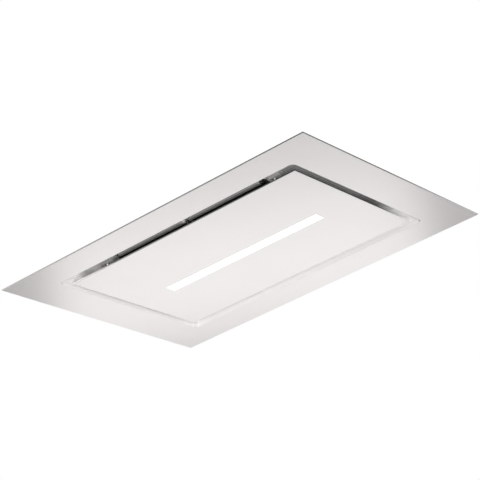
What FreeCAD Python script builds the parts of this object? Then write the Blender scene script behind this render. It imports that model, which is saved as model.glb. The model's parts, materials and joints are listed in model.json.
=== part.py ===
"""Ceiling range hood with a hinged centre panel and suction through the gap around it.

Millimetres, +Z up into the ceiling. The origin is under the middle of the hood, level with
the underside of the panel, which is the lowest face. X runs along the long sides and Y
across them: the panel hinges near its +Y edge, and the air leaves on the +X side.
"""
import FreeCAD
import Part
import math
import os

V = FreeCAD.Vector
X_AXIS = V(1, 0, 0)
Y_AXIS = V(0, 1, 0)
Z_AXIS = V(0, 0, 1)

# ---------------------------------------------------------------- driving dimensions

# Flat frame against the ceiling
FRAME_LENGTH = 940.0
FRAME_WIDTH = 700.0
FRAME_SHEET = 1.2
FRAME_EDGE_HEIGHT = 3.0
FRAME_EDGE_WIDTH = 12.0
FOLD_RADIUS = 1.5
LEVEL_TOLERANCE = 0.01
FRAME_BORDER_ENDS = 103.0
FRAME_BORDER_SIDES = 94.0
OPENING_RADIUS = 13.0
LIP_HEIGHT = 13.0

# Recess above the opening
RECESS_DEPTH = 40.0
RECESS_SHEET = 1.0
INTAKE_SHEET = 1.0

# Centre panel
PANEL_DROP = 0.5
PANEL_GAP_ENDS = 17.5
PANEL_GAP_SIDES = 30.0
PANEL_SHEET = 1.2
PANEL_EDGE_HEIGHT = 3.2
PANEL_EDGE_WIDTH = 8.0
TRAY_INSET_ENDS = 50.0
TRAY_CLEARANCE = 3.0
TRAY_HEIGHT = 18.0
TRAY_SHEET = 1.0
TRAY_FLANGE = 10.0

# Light strip in the panel
LIGHT_LENGTH = 476.0
LIGHT_WIDTH = 29.5
LIGHT_OFFSET = 9.5
LIGHT_FLANGE = 3.0
LIGHT_FLANGE_THICKNESS = 2.0
LIGHT_FIT = 0.2
HOUSING_WALL = 2.0
HOUSING_HEIGHT = 13.0
LED_BOARD_WIDTH = 20.0
LED_BOARD_THICKNESS = 1.6
LED_BOARD_INSET = 6.0
LED_COUNT = 40
LED_SIZE = 3.0
LED_HEIGHT = 0.8

# Panel hinges
HINGE_END_INSET = 100.5
HINGE_EDGE_INSET = 9.5
HINGE_HEIGHT = 12.0
HINGE_PIN_RADIUS = 2.5
HINGE_KNUCKLE_RADIUS = 5.0
HINGE_WIDTH = 50.0
HINGE_MIDDLE = 20.0
HINGE_SIDE_GAP = 0.4
HINGE_SHEET = 2.5
HINGE_FOOT = 22.0
HINGE_SCREW_INSET = 10.0
HINGE_SCREW_REACH = 13.2
HINGE_WEB_LIFT = 2.0
HINGE_PIN_HEAD_RADIUS = 4.0
HINGE_PIN_HEAD_HEIGHT = 1.5
LEAF_SHEET = 2.0
LEAF_LENGTH = 34.0
RUNNING_FIT = 0.03

# Magnetic catches
CATCH_END_INSET = 84.5
CATCH_EDGE_INSET = 39.0
CATCH_LENGTH = 32.0
CATCH_WIDTH = 14.0
CATCH_HEIGHT = 11.0
CATCH_CORNER = 2.0
MAGNET_LENGTH = 12.0
MAGNET_WIDTH = 8.0
MAGNET_HEIGHT = 5.0
CATCH_AIR_GAP = 0.3
STRIKE_PIN_RADIUS = 2.5
STRIKE_PLATE = 1.5
STRIKE_LENGTH = 22.0
STRIKE_WIDTH = 12.0
PLUG_OFFSET = 22.0
PLUG_RADIUS = 3.2
PLUG_DEPTH = 4.0
PLUG_HEAD_RADIUS = 4.5
PLUG_HEAD_HEIGHT = 1.5

# Grease filters
FILTER_SIDE_INSET = 58.0
FILTER_END_INSET = 130.0
FILTER_HEIGHT = 10.0
FILTER_FRONT_BAR = 11.0
FILTER_SIDE_BAR = 3.0
FILTER_REAR_BAR = 24.0
FILTER_FIT = 0.75
FILTER_BRIDGE = 6.0
FILTER_CORNER = 16.0
MESH_HEIGHT = 4.0
MESH_LIFT = 4.0
MESH_PITCH = 12.0
MESH_COLUMNS = 3
MESH_SLOT_WIDTH = 7.0
MESH_RIB = 6.0
TONGUE_WIDTH = 30.0
TONGUE_REACH = 8.0
TONGUE_THICKNESS = 1.0
LATCH_WIDTH = 28.0
LATCH_STEM = 8.0
LATCH_TRAVEL = 8.0
LATCH_GAP = 0.3
LATCH_BOLT = 2.0
LATCH_THUMB = 3.0
LATCH_GRIP_RADIUS = 0.6

# Body above the ceiling
BODY_GAP = 13.0
BODY_SHEET = 1.0
BODY_HEIGHT = 250.0
BODY_FLANGE = 15.0
BODY_TAB = 12.0
SHEET_CLEARANCE = 0.5
LID_RIM = 14.0

# Hanger brackets and the holes for threaded rods
HANGER_INSET = 60.0
HANGER_WIDTH = 56.0
HANGER_REACH = 40.0
HANGER_HEIGHT = 55.0
HANGER_SHEET = 2.5
HANGER_DROP = 14.0
HANGER_HOLE_RADIUS = 4.5
HANGER_HOLE_OFFSET = 22.0
HANGER_RIVET_DROP = 31.5

# Fasteners
RIVET_RADIUS = 2.0
RIVET_HEAD_RADIUS = 3.6
RIVET_HEAD_HEIGHT = 1.4
FASTENER_FIT = 0.1
STUD_RADIUS = 2.0
STUD_HEIGHT = 9.0
NUT_ACROSS = 7.0
NUT_HEIGHT = 3.2
LONG_SIDE_COUNT = 4
SHORT_SIDE_COUNT = 2
SHELF_RIVET_COUNT = 3

# Blower
BLOWER_X = 30.0
SHELF_HEIGHT = 92.0
SHELF_SHEET = 1.2
SHELF_LEFT = 190.0
SHELF_END_GAP = 20.0
SHELF_RIM = 16.0
SCROLL_BASE = 100.0
SCROLL_STEP = 16.0
SCROLL_SHEET = 1.0
TONGUE_ANGLE = 30.0
INLET_RADIUS = 78.0
INLET_SHEET = 1.5
INLET_BELL = 12.0
INLET_FLANGE = 10.0
IMPELLER_RADIUS = 94.0
IMPELLER_BORE = 79.0
IMPELLER_HEADROOM = 9.0
IMPELLER_LIFT = 8.0
IMPELLER_SHEET = 2.0
BLADE_COUNT = 36
BLADE_THICKNESS = 1.0
BLADE_SWEEP = 5.0
BLADE_BOW = 3.0
HUB_RADIUS = 14.0
HUB_HEIGHT = 24.0

# Motor
SHAFT_RADIUS = 4.0
MOTOR_RADIUS = 50.0
MOTOR_HEIGHT = 42.0
MOTOR_WALL = 3.0
MOTOR_FLANGE_THICKNESS = 3.0
MOTOR_RIB_COUNT = 24
MOTOR_RIB_DEPTH = 2.5
MOTOR_RIB_THICKNESS = 2.0
MOTOR_HEADROOM = 8.8
ROTOR_AIR_GAP = 0.5
BEARING_RADIUS = 11.0
BEARING_HEIGHT = 7.0
MOUNT_COUNT = 3
MOUNT_CIRCLE = 56.0
MOUNT_RADIUS = 5.5
MOUNT_HEIGHT = 6.0
MOUNT_BOLT_RADIUS = 2.0
LUG_RADIUS = 7.7
LEAD_RADIUS = 3.5
LEAD_BOSS_LENGTH = 8.0
LEAD_BOSS_WALL = 2.5
LEAD_START = 92.0
LEAD_END = 90.0
LEAD_ARC_SHARE = 0.45

# Outlet with its non-return flaps
SPIGOT_RADIUS = 74.5
SPIGOT_WALL = 2.0
SPIGOT_LENGTH = 58.0
SPIGOT_FLANGE_BORDER = 10.5
SPIGOT_FLANGE_THICKNESS = 3.0
SPIGOT_DROP = 9.3
ADAPTOR_LENGTH = 130.0
ADAPTOR_FLAT_ANGLE = 30.0
ADAPTOR_SHEET = 1.0
ADAPTOR_CORNER = 12.0
FLAP_OFFSET = 14.0
FLAP_THICKNESS = 1.2
FLAP_EDGE_GAP = 1.0
FLAP_PIN_RADIUS = 2.0
FLAP_KNUCKLE_RADIUS = 3.4
FLAP_KNUCKLES = 6

# Control box on the left side
CONTROL_DEPTH = 58.0
CONTROL_HEIGHT = 96.0
CONTROL_DROP = 27.0
CONTROL_SHEET = 1.2
CONTROL_RIM = 7.0
CONTROL_CLEARANCE = 2.0
GLAND_ROOM = 26.0
GLAND_BORE_RADIUS = 4.5
GLAND_RADIUS = 8.0
GLAND_DOME_RADIUS = 10.4
GLAND_NUT_ACROSS = 22.0
GLAND_OUTER_LENGTH = 20.0
GLAND_INNER_LENGTH = 9.0
GLAND_NUT_HEIGHT = 5.0
BOARD_LENGTH = 100.0
BOARD_HEIGHT = 74.0
BOARD_THICKNESS = 1.6
BOARD_STANDOFF = 8.0
BOARD_MARGIN = 8.0
BOARD_POST_INSET = 5.0
BOARD_POST_RADIUS = 2.5
RELAY_COUNT = 3
RELAY_PITCH = 22.0
RELAY_WIDTH = 16.0
RELAY_HEIGHT = 28.0
RELAY_DEPTH = 15.0
TRANSFORMER_WIDTH = 26.0
TRANSFORMER_HEIGHT = 38.0
TRANSFORMER_DEPTH = 24.0
PLUG_STRIP_WIDTH = 48.0
PLUG_STRIP_HEIGHT = 10.0
PLUG_STRIP_DEPTH = 10.0
CAPACITOR_RADIUS = 15.0
CAPACITOR_LENGTH = 56.0
CAPACITOR_TAG_LENGTH = 8.0
CAPACITOR_TAG_WIDTH = 6.0
CAPACITOR_TAG_THICKNESS = 1.0
DRIVER_LENGTH = 60.0
DRIVER_HEIGHT = 30.0
DRIVER_DEPTH = 22.0
TERMINAL_COUNT = 5
TERMINAL_PITCH = 9.0
TERMINAL_DEPTH = 18.0
TERMINAL_HEIGHT = 20.0
GROMMET_RADIUS = 8.0
GROMMET_LIP = 2.5
GROMMET_LIP_THICKNESS = 2.0

# ---------------------------------------------------------------- derived sizes

FACE_Z = PANEL_DROP
PLATE_TOP_Z = FACE_Z + FRAME_SHEET
INTAKE_Z = FACE_Z + RECESS_DEPTH
INTAKE_TOP_Z = INTAKE_Z + INTAKE_SHEET
OPEN_X = FRAME_LENGTH / 2 - FRAME_BORDER_ENDS
OPEN_Y = FRAME_WIDTH / 2 - FRAME_BORDER_SIDES
PANEL_X = OPEN_X - PANEL_GAP_ENDS
PANEL_Y = OPEN_Y - PANEL_GAP_SIDES
BODY_X = OPEN_X + BODY_GAP
BODY_Y = OPEN_Y + BODY_GAP
BODY_TOP_Z = BODY_HEIGHT - BODY_SHEET
LID_LOW_Z = BODY_TOP_Z - LID_RIM
HANGER_X = BODY_X - HANGER_INSET
HANGER_TOP_Z = BODY_HEIGHT - HANGER_DROP - LID_RIM / 2
LIGHT_TOP_Z = PANEL_SHEET + LIGHT_FLANGE_THICKNESS
HINGE_X = PANEL_X - HINGE_END_INSET
HINGE_Y = PANEL_Y - HINGE_EDGE_INSET
CATCH_X = PANEL_X - CATCH_END_INSET
CATCH_Y = CATCH_EDGE_INSET - PANEL_Y
FILTER_LENGTH = 2 * (OPEN_Y - FILTER_SIDE_INSET)
FILTER_WIDTH = OPEN_X - FILTER_END_INSET - FILTER_FIT - FILTER_BRIDGE / 2
FILTER_Z = INTAKE_TOP_Z - FILTER_HEIGHT
FILTER_CENTRE = FILTER_BRIDGE / 2 + FILTER_FIT + FILTER_WIDTH / 2
SCROLL_TOP_REACH = SCROLL_BASE + 3.5 * SCROLL_STEP
TONGUE_REACH_Y = SCROLL_BASE * math.sin(math.radians(TONGUE_ANGLE)) - SCROLL_STEP / 2
BLOWER_Y = -(SCROLL_TOP_REACH + TONGUE_REACH_Y) / 2
MOTOR_TOP_Z = BODY_TOP_Z - MOTOR_HEADROOM
MOTOR_Z = MOTOR_TOP_Z - MOTOR_HEIGHT
MOTOR_SEAT_Z = MOTOR_Z - MOTOR_FLANGE_THICKNESS
CORE_Z = MOTOR_SEAT_Z + BEARING_HEIGHT + MOTOR_WALL
CORE_HEIGHT = MOTOR_TOP_Z - BEARING_HEIGHT - MOTOR_WALL - CORE_Z
SCROLL_Z = SHELF_HEIGHT + SHELF_SHEET
SCROLL_TOP_Z = MOTOR_SEAT_Z - MOUNT_HEIGHT - SCROLL_SHEET
SCROLL_HEIGHT = SCROLL_TOP_Z - SCROLL_Z
DUCT_Z = SCROLL_Z + SCROLL_HEIGHT / 2
DUCT_END = BODY_X - ADAPTOR_LENGTH
SHELF_END = DUCT_END - SHELF_END_GAP
IMPELLER_Z = SCROLL_Z + IMPELLER_LIFT
IMPELLER_HEIGHT = SCROLL_HEIGHT - IMPELLER_LIFT - IMPELLER_HEADROOM
SPIGOT_X = BODY_X + BODY_SHEET
SPIGOT_BORE = SPIGOT_RADIUS - SPIGOT_WALL
SPIGOT_FLANGE = 2 * (SPIGOT_RADIUS + SPIGOT_FLANGE_BORDER)
OUTLET_Z = LID_LOW_Z - SPIGOT_DROP - SPIGOT_FLANGE / 2
FLAP_X = SPIGOT_X + SPIGOT_FLANGE_THICKNESS + FLAP_OFFSET
CONTROL_X = -(BODY_X + BODY_SHEET)
CONTROL_BASE = LID_LOW_Z - CONTROL_DROP - CONTROL_HEIGHT
CONTROL_Z = CONTROL_BASE + CONTROL_HEIGHT / 2
CONTROL_LENGTH = GLAND_ROOM + DRIVER_LENGTH + BOARD_LENGTH + 4 * (CONTROL_SHEET + CONTROL_CLEARANCE)
DRIVER_Y = GLAND_ROOM + CONTROL_SHEET - CONTROL_LENGTH / 2
BOARD_Y = DRIVER_Y + DRIVER_LENGTH + CONTROL_CLEARANCE
BOARD_BACK_X = CONTROL_X - CONTROL_SHEET - BOARD_STANDOFF


# ---------------------------------------------------------------- shape helpers

def box(low, high):
    """Block between two opposite corners."""
    size = [high[i] - low[i] for i in range(3)]
    return Part.makeBox(size[0], size[1], size[2], V(*low))


def slab(half_x, half_y, low_z, high_z, centre=(0.0, 0.0)):
    """Block centred on a point of the XY plane."""
    x, y = centre
    return box((x - half_x, y - half_y, low_z), (x + half_x, y + half_y, high_z))


def rounded_slab(half_x, half_y, radius, low_z, high_z, centre=(0.0, 0.0)):
    """Block with round upright edges."""
    block = slab(half_x, half_y, low_z, high_z, centre)
    upright = [edge for edge in block.Edges if abs(edge.tangentAt(edge.FirstParameter).z) > 0.9]
    return block.makeFillet(radius, upright)


def rod(start, direction, radius, length):
    return Part.makeCylinder(radius, length, V(*start), direction)


def tube(start, direction, outer, inner, length):
    return rod(start, direction, outer, length).cut(rod(start, direction, inner, length))


def join(shapes):
    """One solid out of touching ones."""
    return shapes[0].multiFuse(shapes[1:]).removeSplitter()


def group(shapes):
    """Separate solids that share one node."""
    return Part.makeCompound(shapes)


def hexagon(start, direction, across, height):
    """Six-sided nut body, with its first corner along the smaller transverse axis."""
    radius = across / math.sqrt(3)
    corners = []
    for i in range(7):
        angle = math.radians(60 * i)
        corners.append(V(radius * math.cos(angle), radius * math.sin(angle), 0))
    prism = Part.Face(Part.makePolygon(corners)).extrude(V(0, 0, height))
    prism.Placement = FreeCAD.Placement(V(*start), FreeCAD.Rotation(Z_AXIS, direction))
    return prism


def round_fold(shape, level):
    """Bend radius along the outside edges that lie at one level."""
    edges = [edge for edge in shape.Edges
             if abs(edge.BoundBox.ZMin - level) < LEVEL_TOLERANCE
             and abs(edge.BoundBox.ZMax - level) < LEVEL_TOLERANCE]
    return shape.makeFillet(FOLD_RADIUS, edges)


def line_edges(points):
    """Straight edges from point to point."""
    return [Part.LineSegment(a, b).toShape() for a, b in zip(points, points[1:])]


def mirror_x(shape):
    return shape.mirror(V(0, 0, 0), X_AXIS)


def mirror_y(shape):
    return shape.mirror(V(0, 0, 0), Y_AXIS)


def both_sides(shape):
    """The shape and its mirror image across the YZ plane."""
    return group([shape, mirror_x(shape)])


def spread(count, reach):
    """Evenly spaced positions from -reach to reach."""
    return [reach * (2 * i / (count - 1) - 1) for i in range(count)]


# ---------------------------------------------------------------- frame and recess

def stud_points():
    """Welded studs under the outward feet of the four body sides."""
    offset = BODY_SHEET + BODY_FLANGE / 2
    points = []
    for x in spread(LONG_SIDE_COUNT, BODY_X - 2 * BODY_FLANGE):
        points += [(x, BODY_Y + offset), (x, -BODY_Y - offset)]
    for y in spread(SHORT_SIDE_COUNT, BODY_Y - 4 * BODY_FLANGE):
        points += [(BODY_X + offset, y), (-BODY_X - offset, y)]
    return points


def frame_plate():
    """Sheet with a folded outer edge, and a lip turned up around the opening."""
    half_x = FRAME_LENGTH / 2
    half_y = FRAME_WIDTH / 2
    edge_top = FACE_Z + FRAME_EDGE_HEIGHT
    edge = slab(half_x, half_y, FACE_Z, edge_top)
    edge = edge.cut(slab(half_x - FRAME_EDGE_WIDTH, half_y - FRAME_EDGE_WIDTH, FACE_Z, edge_top))
    sheet = slab(half_x, half_y, FACE_Z, PLATE_TOP_Z)
    lip_top = FACE_Z + LIP_HEIGHT
    lip = rounded_slab(OPEN_X + FRAME_SHEET, OPEN_Y + FRAME_SHEET, OPENING_RADIUS + FRAME_SHEET,
                       FACE_Z, lip_top)
    hole = rounded_slab(OPEN_X, OPEN_Y, OPENING_RADIUS, FACE_Z, lip_top)
    studs = [rod((x, y, PLATE_TOP_Z), Z_AXIS, STUD_RADIUS, STUD_HEIGHT) for x, y in stud_points()]
    return round_fold(join([sheet, edge, lip] + studs).cut(hole), FACE_Z)


def recess_walls():
    """Upright walls outside the lip, with a flange turned out under the intake plate."""
    inner_x = OPEN_X + FRAME_SHEET
    inner_y = OPEN_Y + FRAME_SHEET
    radius = OPENING_RADIUS + FRAME_SHEET
    wall = rounded_slab(inner_x + RECESS_SHEET, inner_y + RECESS_SHEET, radius + RECESS_SHEET,
                        PLATE_TOP_Z, INTAKE_Z)
    flange = slab(BODY_X - SHEET_CLEARANCE, BODY_Y - SHEET_CLEARANCE,
                  INTAKE_Z - RECESS_SHEET, INTAKE_Z)
    hole = rounded_slab(inner_x, inner_y, radius, PLATE_TOP_Z, INTAKE_Z)
    return join([wall, flange]).cut(hole)


def intake_plate():
    """Ceiling of the recess, with one opening for each grease filter."""
    plate = slab(BODY_X - SHEET_CLEARANCE, BODY_Y - SHEET_CLEARANCE, INTAKE_Z, INTAKE_TOP_Z)
    for side in (-1, 1):
        plate = plate.cut(rounded_slab(FILTER_WIDTH / 2 + FILTER_FIT, FILTER_LENGTH / 2 + FILTER_FIT,
                                       FILTER_CORNER, INTAKE_Z, INTAKE_TOP_Z,
                                       (side * FILTER_CENTRE, 0)))
    for x, y in hinge_screw_points() + catch_screw_points():
        plate = plate.cut(rod((x, y, INTAKE_Z), Z_AXIS, RIVET_RADIUS + FASTENER_FIT, INTAKE_SHEET))
    for x, y in plug_points():
        plate = plate.cut(rod((x, y, INTAKE_Z), Z_AXIS, PLUG_RADIUS + FASTENER_FIT, INTAKE_SHEET))
    return plate


# ---------------------------------------------------------------- body

def long_side_points(height):
    """Fastener places along one long side at a height."""
    return [(x, height) for x in spread(LONG_SIDE_COUNT, BODY_X - 2 * BODY_FLANGE)]


def hanger_rivet_points():
    """Rivets through the brackets and the rear long side, as X and Z."""
    height = HANGER_TOP_Z - HANGER_RIVET_DROP
    offset = HANGER_WIDTH / 4
    return [(side * HANGER_X + shift, height) for side in (-1, 1) for shift in (-offset, offset)]


def lid_screw_points():
    return long_side_points(BODY_TOP_Z - LID_RIM / 2)


def shelf_rivet_points():
    """Rivets through the shelf rim and a long side, as X and Z."""
    middle = (SHELF_END + BLOWER_X - SHELF_LEFT) / 2
    reach = SHELF_END - middle - SHELF_RIM
    return [(middle + x, SHELF_HEIGHT - SHELF_RIM / 2) for x in spread(SHELF_RIVET_COUNT, reach)]


def body_rear():
    """Long side with an outward foot, drilled for the brackets, the lid and the shelf."""
    outer = BODY_Y + BODY_SHEET
    wall = box((-BODY_X - BODY_SHEET, BODY_Y, PLATE_TOP_Z), (BODY_X + BODY_SHEET, outer, BODY_TOP_Z))
    foot = box((-BODY_X - BODY_SHEET, BODY_Y, PLATE_TOP_Z),
               (BODY_X + BODY_SHEET, outer + BODY_FLANGE, PLATE_TOP_Z + BODY_SHEET))
    side = join([wall, foot])
    for x, z in hanger_rivet_points() + lid_screw_points() + shelf_rivet_points():
        side = side.cut(rod((x, BODY_Y, z), Y_AXIS, RIVET_RADIUS + FASTENER_FIT, BODY_SHEET))
    return cut_stud_holes(side)


def body_end():
    """Short side on +X, with tabs folded in against the long sides."""
    outer = BODY_X + BODY_SHEET
    wall = box((BODY_X, -BODY_Y, PLATE_TOP_Z), (outer, BODY_Y, BODY_TOP_Z))
    foot = box((BODY_X, -BODY_Y, PLATE_TOP_Z),
               (outer + BODY_FLANGE, BODY_Y, PLATE_TOP_Z + BODY_SHEET))
    tab_low = INTAKE_TOP_Z + BODY_TAB / 4
    tab = box((BODY_X - BODY_TAB, BODY_Y - BODY_SHEET, tab_low), (BODY_X, BODY_Y, LID_LOW_Z))
    return cut_stud_holes(join([wall, foot, tab, mirror_y(tab)]))


def cut_stud_holes(shape):
    """Clearance holes for the frame's studs through the feet."""
    for x, y in stud_points():
        hole = rod((x, y, PLATE_TOP_Z), Z_AXIS, STUD_RADIUS + FASTENER_FIT, BODY_SHEET)
        shape = shape.cut(hole)
    return shape


def body_right():
    hole = rod((BODY_X, 0, OUTLET_Z), X_AXIS, SPIGOT_BORE, BODY_SHEET)
    side = body_end().cut(hole)
    for y, z in spigot_screw_points():
        side = side.cut(rod((BODY_X, y, z), X_AXIS, RIVET_RADIUS + FASTENER_FIT, BODY_SHEET))
    return side


def body_left():
    hole = rod((-BODY_X, 0, CONTROL_Z), -X_AXIS, GROMMET_RADIUS, BODY_SHEET)
    return mirror_x(body_end()).cut(hole)


def body_top():
    """Lid with a rim that fits over the four sides."""
    inner_x = BODY_X + BODY_SHEET
    inner_y = BODY_Y + BODY_SHEET
    lid = slab(inner_x + BODY_SHEET, inner_y + BODY_SHEET, LID_LOW_Z, BODY_HEIGHT)
    lid = lid.cut(slab(inner_x, inner_y, LID_LOW_Z, BODY_TOP_Z))
    for x, z in lid_screw_points():
        hole = rod((x, inner_y, z), Y_AXIS, RIVET_RADIUS + FASTENER_FIT, BODY_SHEET)
        lid = lid.cut(hole).cut(mirror_y(hole))
    return lid


def hanger_bracket():
    """Folded angle with two gussets, on the rear long side at +X."""
    wall_y = BODY_Y + BODY_SHEET
    top = HANGER_TOP_Z
    half = HANGER_WIDTH / 2
    leg = box((HANGER_X - half, wall_y, top - HANGER_HEIGHT),
              (HANGER_X + half, wall_y + HANGER_SHEET, top))
    shelf = box((HANGER_X - half, wall_y, top - HANGER_SHEET),
                (HANGER_X + half, wall_y + HANGER_REACH, top))
    corners = [V(0, wall_y, top - HANGER_HEIGHT), V(0, wall_y, top), V(0, wall_y + HANGER_REACH, top)]
    rib = Part.Face(Part.makePolygon(corners + corners[:1])).extrude(V(HANGER_SHEET, 0, 0))
    ribs = [rib.translated(V(HANGER_X - half, 0, 0)),
            rib.translated(V(HANGER_X + half - HANGER_SHEET, 0, 0))]
    bracket = join([leg, shelf] + ribs)
    hole_y = wall_y + HANGER_HOLE_OFFSET
    bracket = bracket.cut(rod((HANGER_X, hole_y, top - HANGER_SHEET), Z_AXIS,
                              HANGER_HOLE_RADIUS, HANGER_SHEET))
    for x, z in hanger_rivet_points():
        bracket = bracket.cut(rod((x, wall_y, z), Y_AXIS, RIVET_RADIUS + FASTENER_FIT, HANGER_SHEET))
    return bracket


def hanger_brackets():
    right = hanger_bracket()
    left = mirror_x(right)
    return group([right, left, mirror_y(right), mirror_y(left)])


def rivet(start, direction, grip):
    """Rivet or screw whose head lies on the outer face, with its shank along -direction."""
    head = Part.makeCone(RIVET_HEAD_RADIUS, RIVET_RADIUS, RIVET_HEAD_HEIGHT, V(*start), direction)
    shank = rod(start, -direction, RIVET_RADIUS, grip)
    return join([head, shank])


def side_rivets(points, face_y, grip):
    """The same rivets on the rear and the front long side."""
    rear = [rivet((x, face_y, z), Y_AXIS, grip) for x, z in points]
    return group(rear + [mirror_y(shape) for shape in rear])


def bracket_rivets():
    return side_rivets(hanger_rivet_points(), BODY_Y + BODY_SHEET + HANGER_SHEET,
                       BODY_SHEET + HANGER_SHEET)


def lid_screws():
    return side_rivets(lid_screw_points(), BODY_Y + 2 * BODY_SHEET, 2 * BODY_SHEET)


def shelf_rivets():
    return side_rivets(shelf_rivet_points(), BODY_Y + BODY_SHEET, BODY_SHEET + SHELF_SHEET)


def frame_nuts():
    seat = PLATE_TOP_Z + BODY_SHEET
    nuts = []
    for x, y in stud_points():
        nut = hexagon((x, y, seat), Z_AXIS, NUT_ACROSS, NUT_HEIGHT)
        nuts.append(nut.cut(rod((x, y, seat), Z_AXIS, STUD_RADIUS + FASTENER_FIT, NUT_HEIGHT)))
    return group(nuts)


# ---------------------------------------------------------------- filters

def filter_inner():
    """Low and high Y of the space between a filter's bars."""
    half = FILTER_LENGTH / 2
    return FILTER_FRONT_BAR - half, half - FILTER_REAR_BAR


def latch_stem_y():
    """Low Y of the latch stem at rest."""
    return FILTER_LENGTH / 2 - FILTER_REAR_BAR + LATCH_GAP + LATCH_TRAVEL + LATCH_THUMB


def filter_frame():
    """Right filter's channel frame: tongues over the plate in front, a latch slot behind."""
    half_y = FILTER_LENGTH / 2
    centre = (FILTER_CENTRE, 0)
    low, high = filter_inner()
    body = rounded_slab(FILTER_WIDTH / 2, half_y, FILTER_CORNER, FILTER_Z, INTAKE_TOP_Z, centre)
    inner_x = FILTER_WIDTH / 2 - FILTER_SIDE_BAR
    window = box((FILTER_CENTRE - inner_x, low, FILTER_Z), (FILTER_CENTRE + inner_x, high, INTAKE_TOP_Z))
    tongues = []
    for shift in (-FILTER_WIDTH / 4, FILTER_WIDTH / 4):
        x = FILTER_CENTRE + shift
        tongues.append(box((x - TONGUE_WIDTH / 2, -half_y - TONGUE_REACH, INTAKE_TOP_Z),
                           (x + TONGUE_WIDTH / 2, low, INTAKE_TOP_Z + TONGUE_THICKNESS)))
    stem_y = latch_stem_y()
    slot = box((FILTER_CENTRE - LATCH_WIDTH / 2 - LATCH_GAP, stem_y - LATCH_TRAVEL - LATCH_GAP, FILTER_Z),
               (FILTER_CENTRE + LATCH_WIDTH / 2 + LATCH_GAP, stem_y + LATCH_STEM + LATCH_GAP,
                INTAKE_TOP_Z))
    return join([body] + tongues).cut(window).cut(slot)


def filter_mesh():
    """Right filter's slotted pack, held between the bars."""
    low, high = filter_inner()
    half_x = FILTER_WIDTH / 2 - FILTER_SIDE_BAR
    bottom = FILTER_Z + MESH_LIFT
    top = bottom + MESH_HEIGHT
    pack = box((FILTER_CENTRE - half_x, low, bottom), (FILTER_CENTRE + half_x, high, top))
    pitch_x = 2 * half_x / MESH_COLUMNS
    rows = int((high - low) / MESH_PITCH)
    first_y = (low + high - (rows - 1) * MESH_PITCH) / 2
    slots = []
    for column in range(MESH_COLUMNS):
        x = FILTER_CENTRE - half_x + pitch_x * (column + 0.5)
        for row in range(rows):
            y = first_y + row * MESH_PITCH
            slots.append(slab((pitch_x - MESH_RIB) / 2, MESH_SLOT_WIDTH / 2, bottom, top, (x, y)))
    return pack.cut(group(slots))


def filter_latch():
    """Right filter's sliding latch: bolt over the plate, stem, and thumb pad below."""
    half = LATCH_WIDTH / 2
    stem_y = latch_stem_y()
    edge = FILTER_LENGTH / 2 + FILTER_FIT
    bolt_z = INTAKE_TOP_Z + LATCH_GAP
    bolt = box((FILTER_CENTRE - half, stem_y, bolt_z),
               (FILTER_CENTRE + half, edge + LATCH_TRAVEL - FILTER_FIT, bolt_z + LATCH_BOLT))
    stem = box((FILTER_CENTRE - half, stem_y, FILTER_Z - LATCH_GAP),
               (FILTER_CENTRE + half, stem_y + LATCH_STEM, bolt_z))
    pad_top = FILTER_Z - LATCH_GAP
    pad = box((FILTER_CENTRE - half - LATCH_THUMB, stem_y - LATCH_THUMB, pad_top - LATCH_THUMB),
              (FILTER_CENTRE + half + LATCH_THUMB, stem_y + LATCH_STEM + LATCH_THUMB, pad_top))
    grip = [rod((FILTER_CENTRE - half, stem_y + shift, pad_top - LATCH_THUMB), X_AXIS,
                LATCH_GRIP_RADIUS, LATCH_WIDTH) for shift in spread(3, LATCH_THUMB)]
    return join([bolt, stem, pad]).cut(group(grip))


# ---------------------------------------------------------------- blower

def scroll_face(grow):
    """Plan of the scroll and its duct, grown outwards by a wall; the duct's end stays put."""
    half = SCROLL_STEP / 2
    centres = [V(half, -half, 0), V(-half, -half, 0), V(-half, half, 0), V(half, half, 0)]
    radii = [SCROLL_BASE + i * SCROLL_STEP + grow for i in range(4)]
    tongue_y = TONGUE_REACH_Y - grow
    start = math.degrees(math.asin((tongue_y + half) / radii[0]))
    bounds = [(start, 0), (0, -90), (-90, -180), (180, 90)]
    edges = []
    for centre, radius, (first, last) in zip(centres, radii, bounds):
        points = [centre + polar(radius, angle) for angle in (first, (first + last) / 2, last)]
        edges.append(Part.Arc(*points).toShape())
    top = centres[3] + V(0, radii[3], 0)
    tongue = centres[0] + polar(radii[0], start)
    duct_x = DUCT_END - BLOWER_X
    edges += line_edges([top, V(duct_x, top.y, 0), V(duct_x, tongue.y, 0), tongue])
    face = Part.Face(Part.Wire(Part.__sortEdges__(edges)))
    return face.translated(V(BLOWER_X, BLOWER_Y, 0))


def polar(radius, degrees):
    angle = math.radians(degrees)
    return V(radius * math.cos(angle), radius * math.sin(angle), 0)


def raise_face(face, low_z, height):
    return face.translated(V(0, 0, low_z)).extrude(V(0, 0, height))


def blower_shelf():
    """Shelf across the body, with rims turned down against the long sides."""
    low_x = BLOWER_X - SHELF_LEFT
    sheet = box((low_x, -BODY_Y, SHELF_HEIGHT), (SHELF_END, BODY_Y, SCROLL_Z))
    rim = box((low_x, BODY_Y - SHELF_SHEET, SHELF_HEIGHT - SHELF_RIM), (SHELF_END, BODY_Y, SCROLL_Z))
    for x, z in shelf_rivet_points():
        hole = rod((x, BODY_Y - SHELF_SHEET, z), Y_AXIS, RIVET_RADIUS + FASTENER_FIT, SHELF_SHEET)
        rim = rim.cut(hole)
    shelf = join([sheet, rim, mirror_y(rim)])
    inlet = rod((BLOWER_X, BLOWER_Y, SHELF_HEIGHT), Z_AXIS, INLET_RADIUS, SHELF_SHEET)
    return shelf.cut(inlet)


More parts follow.
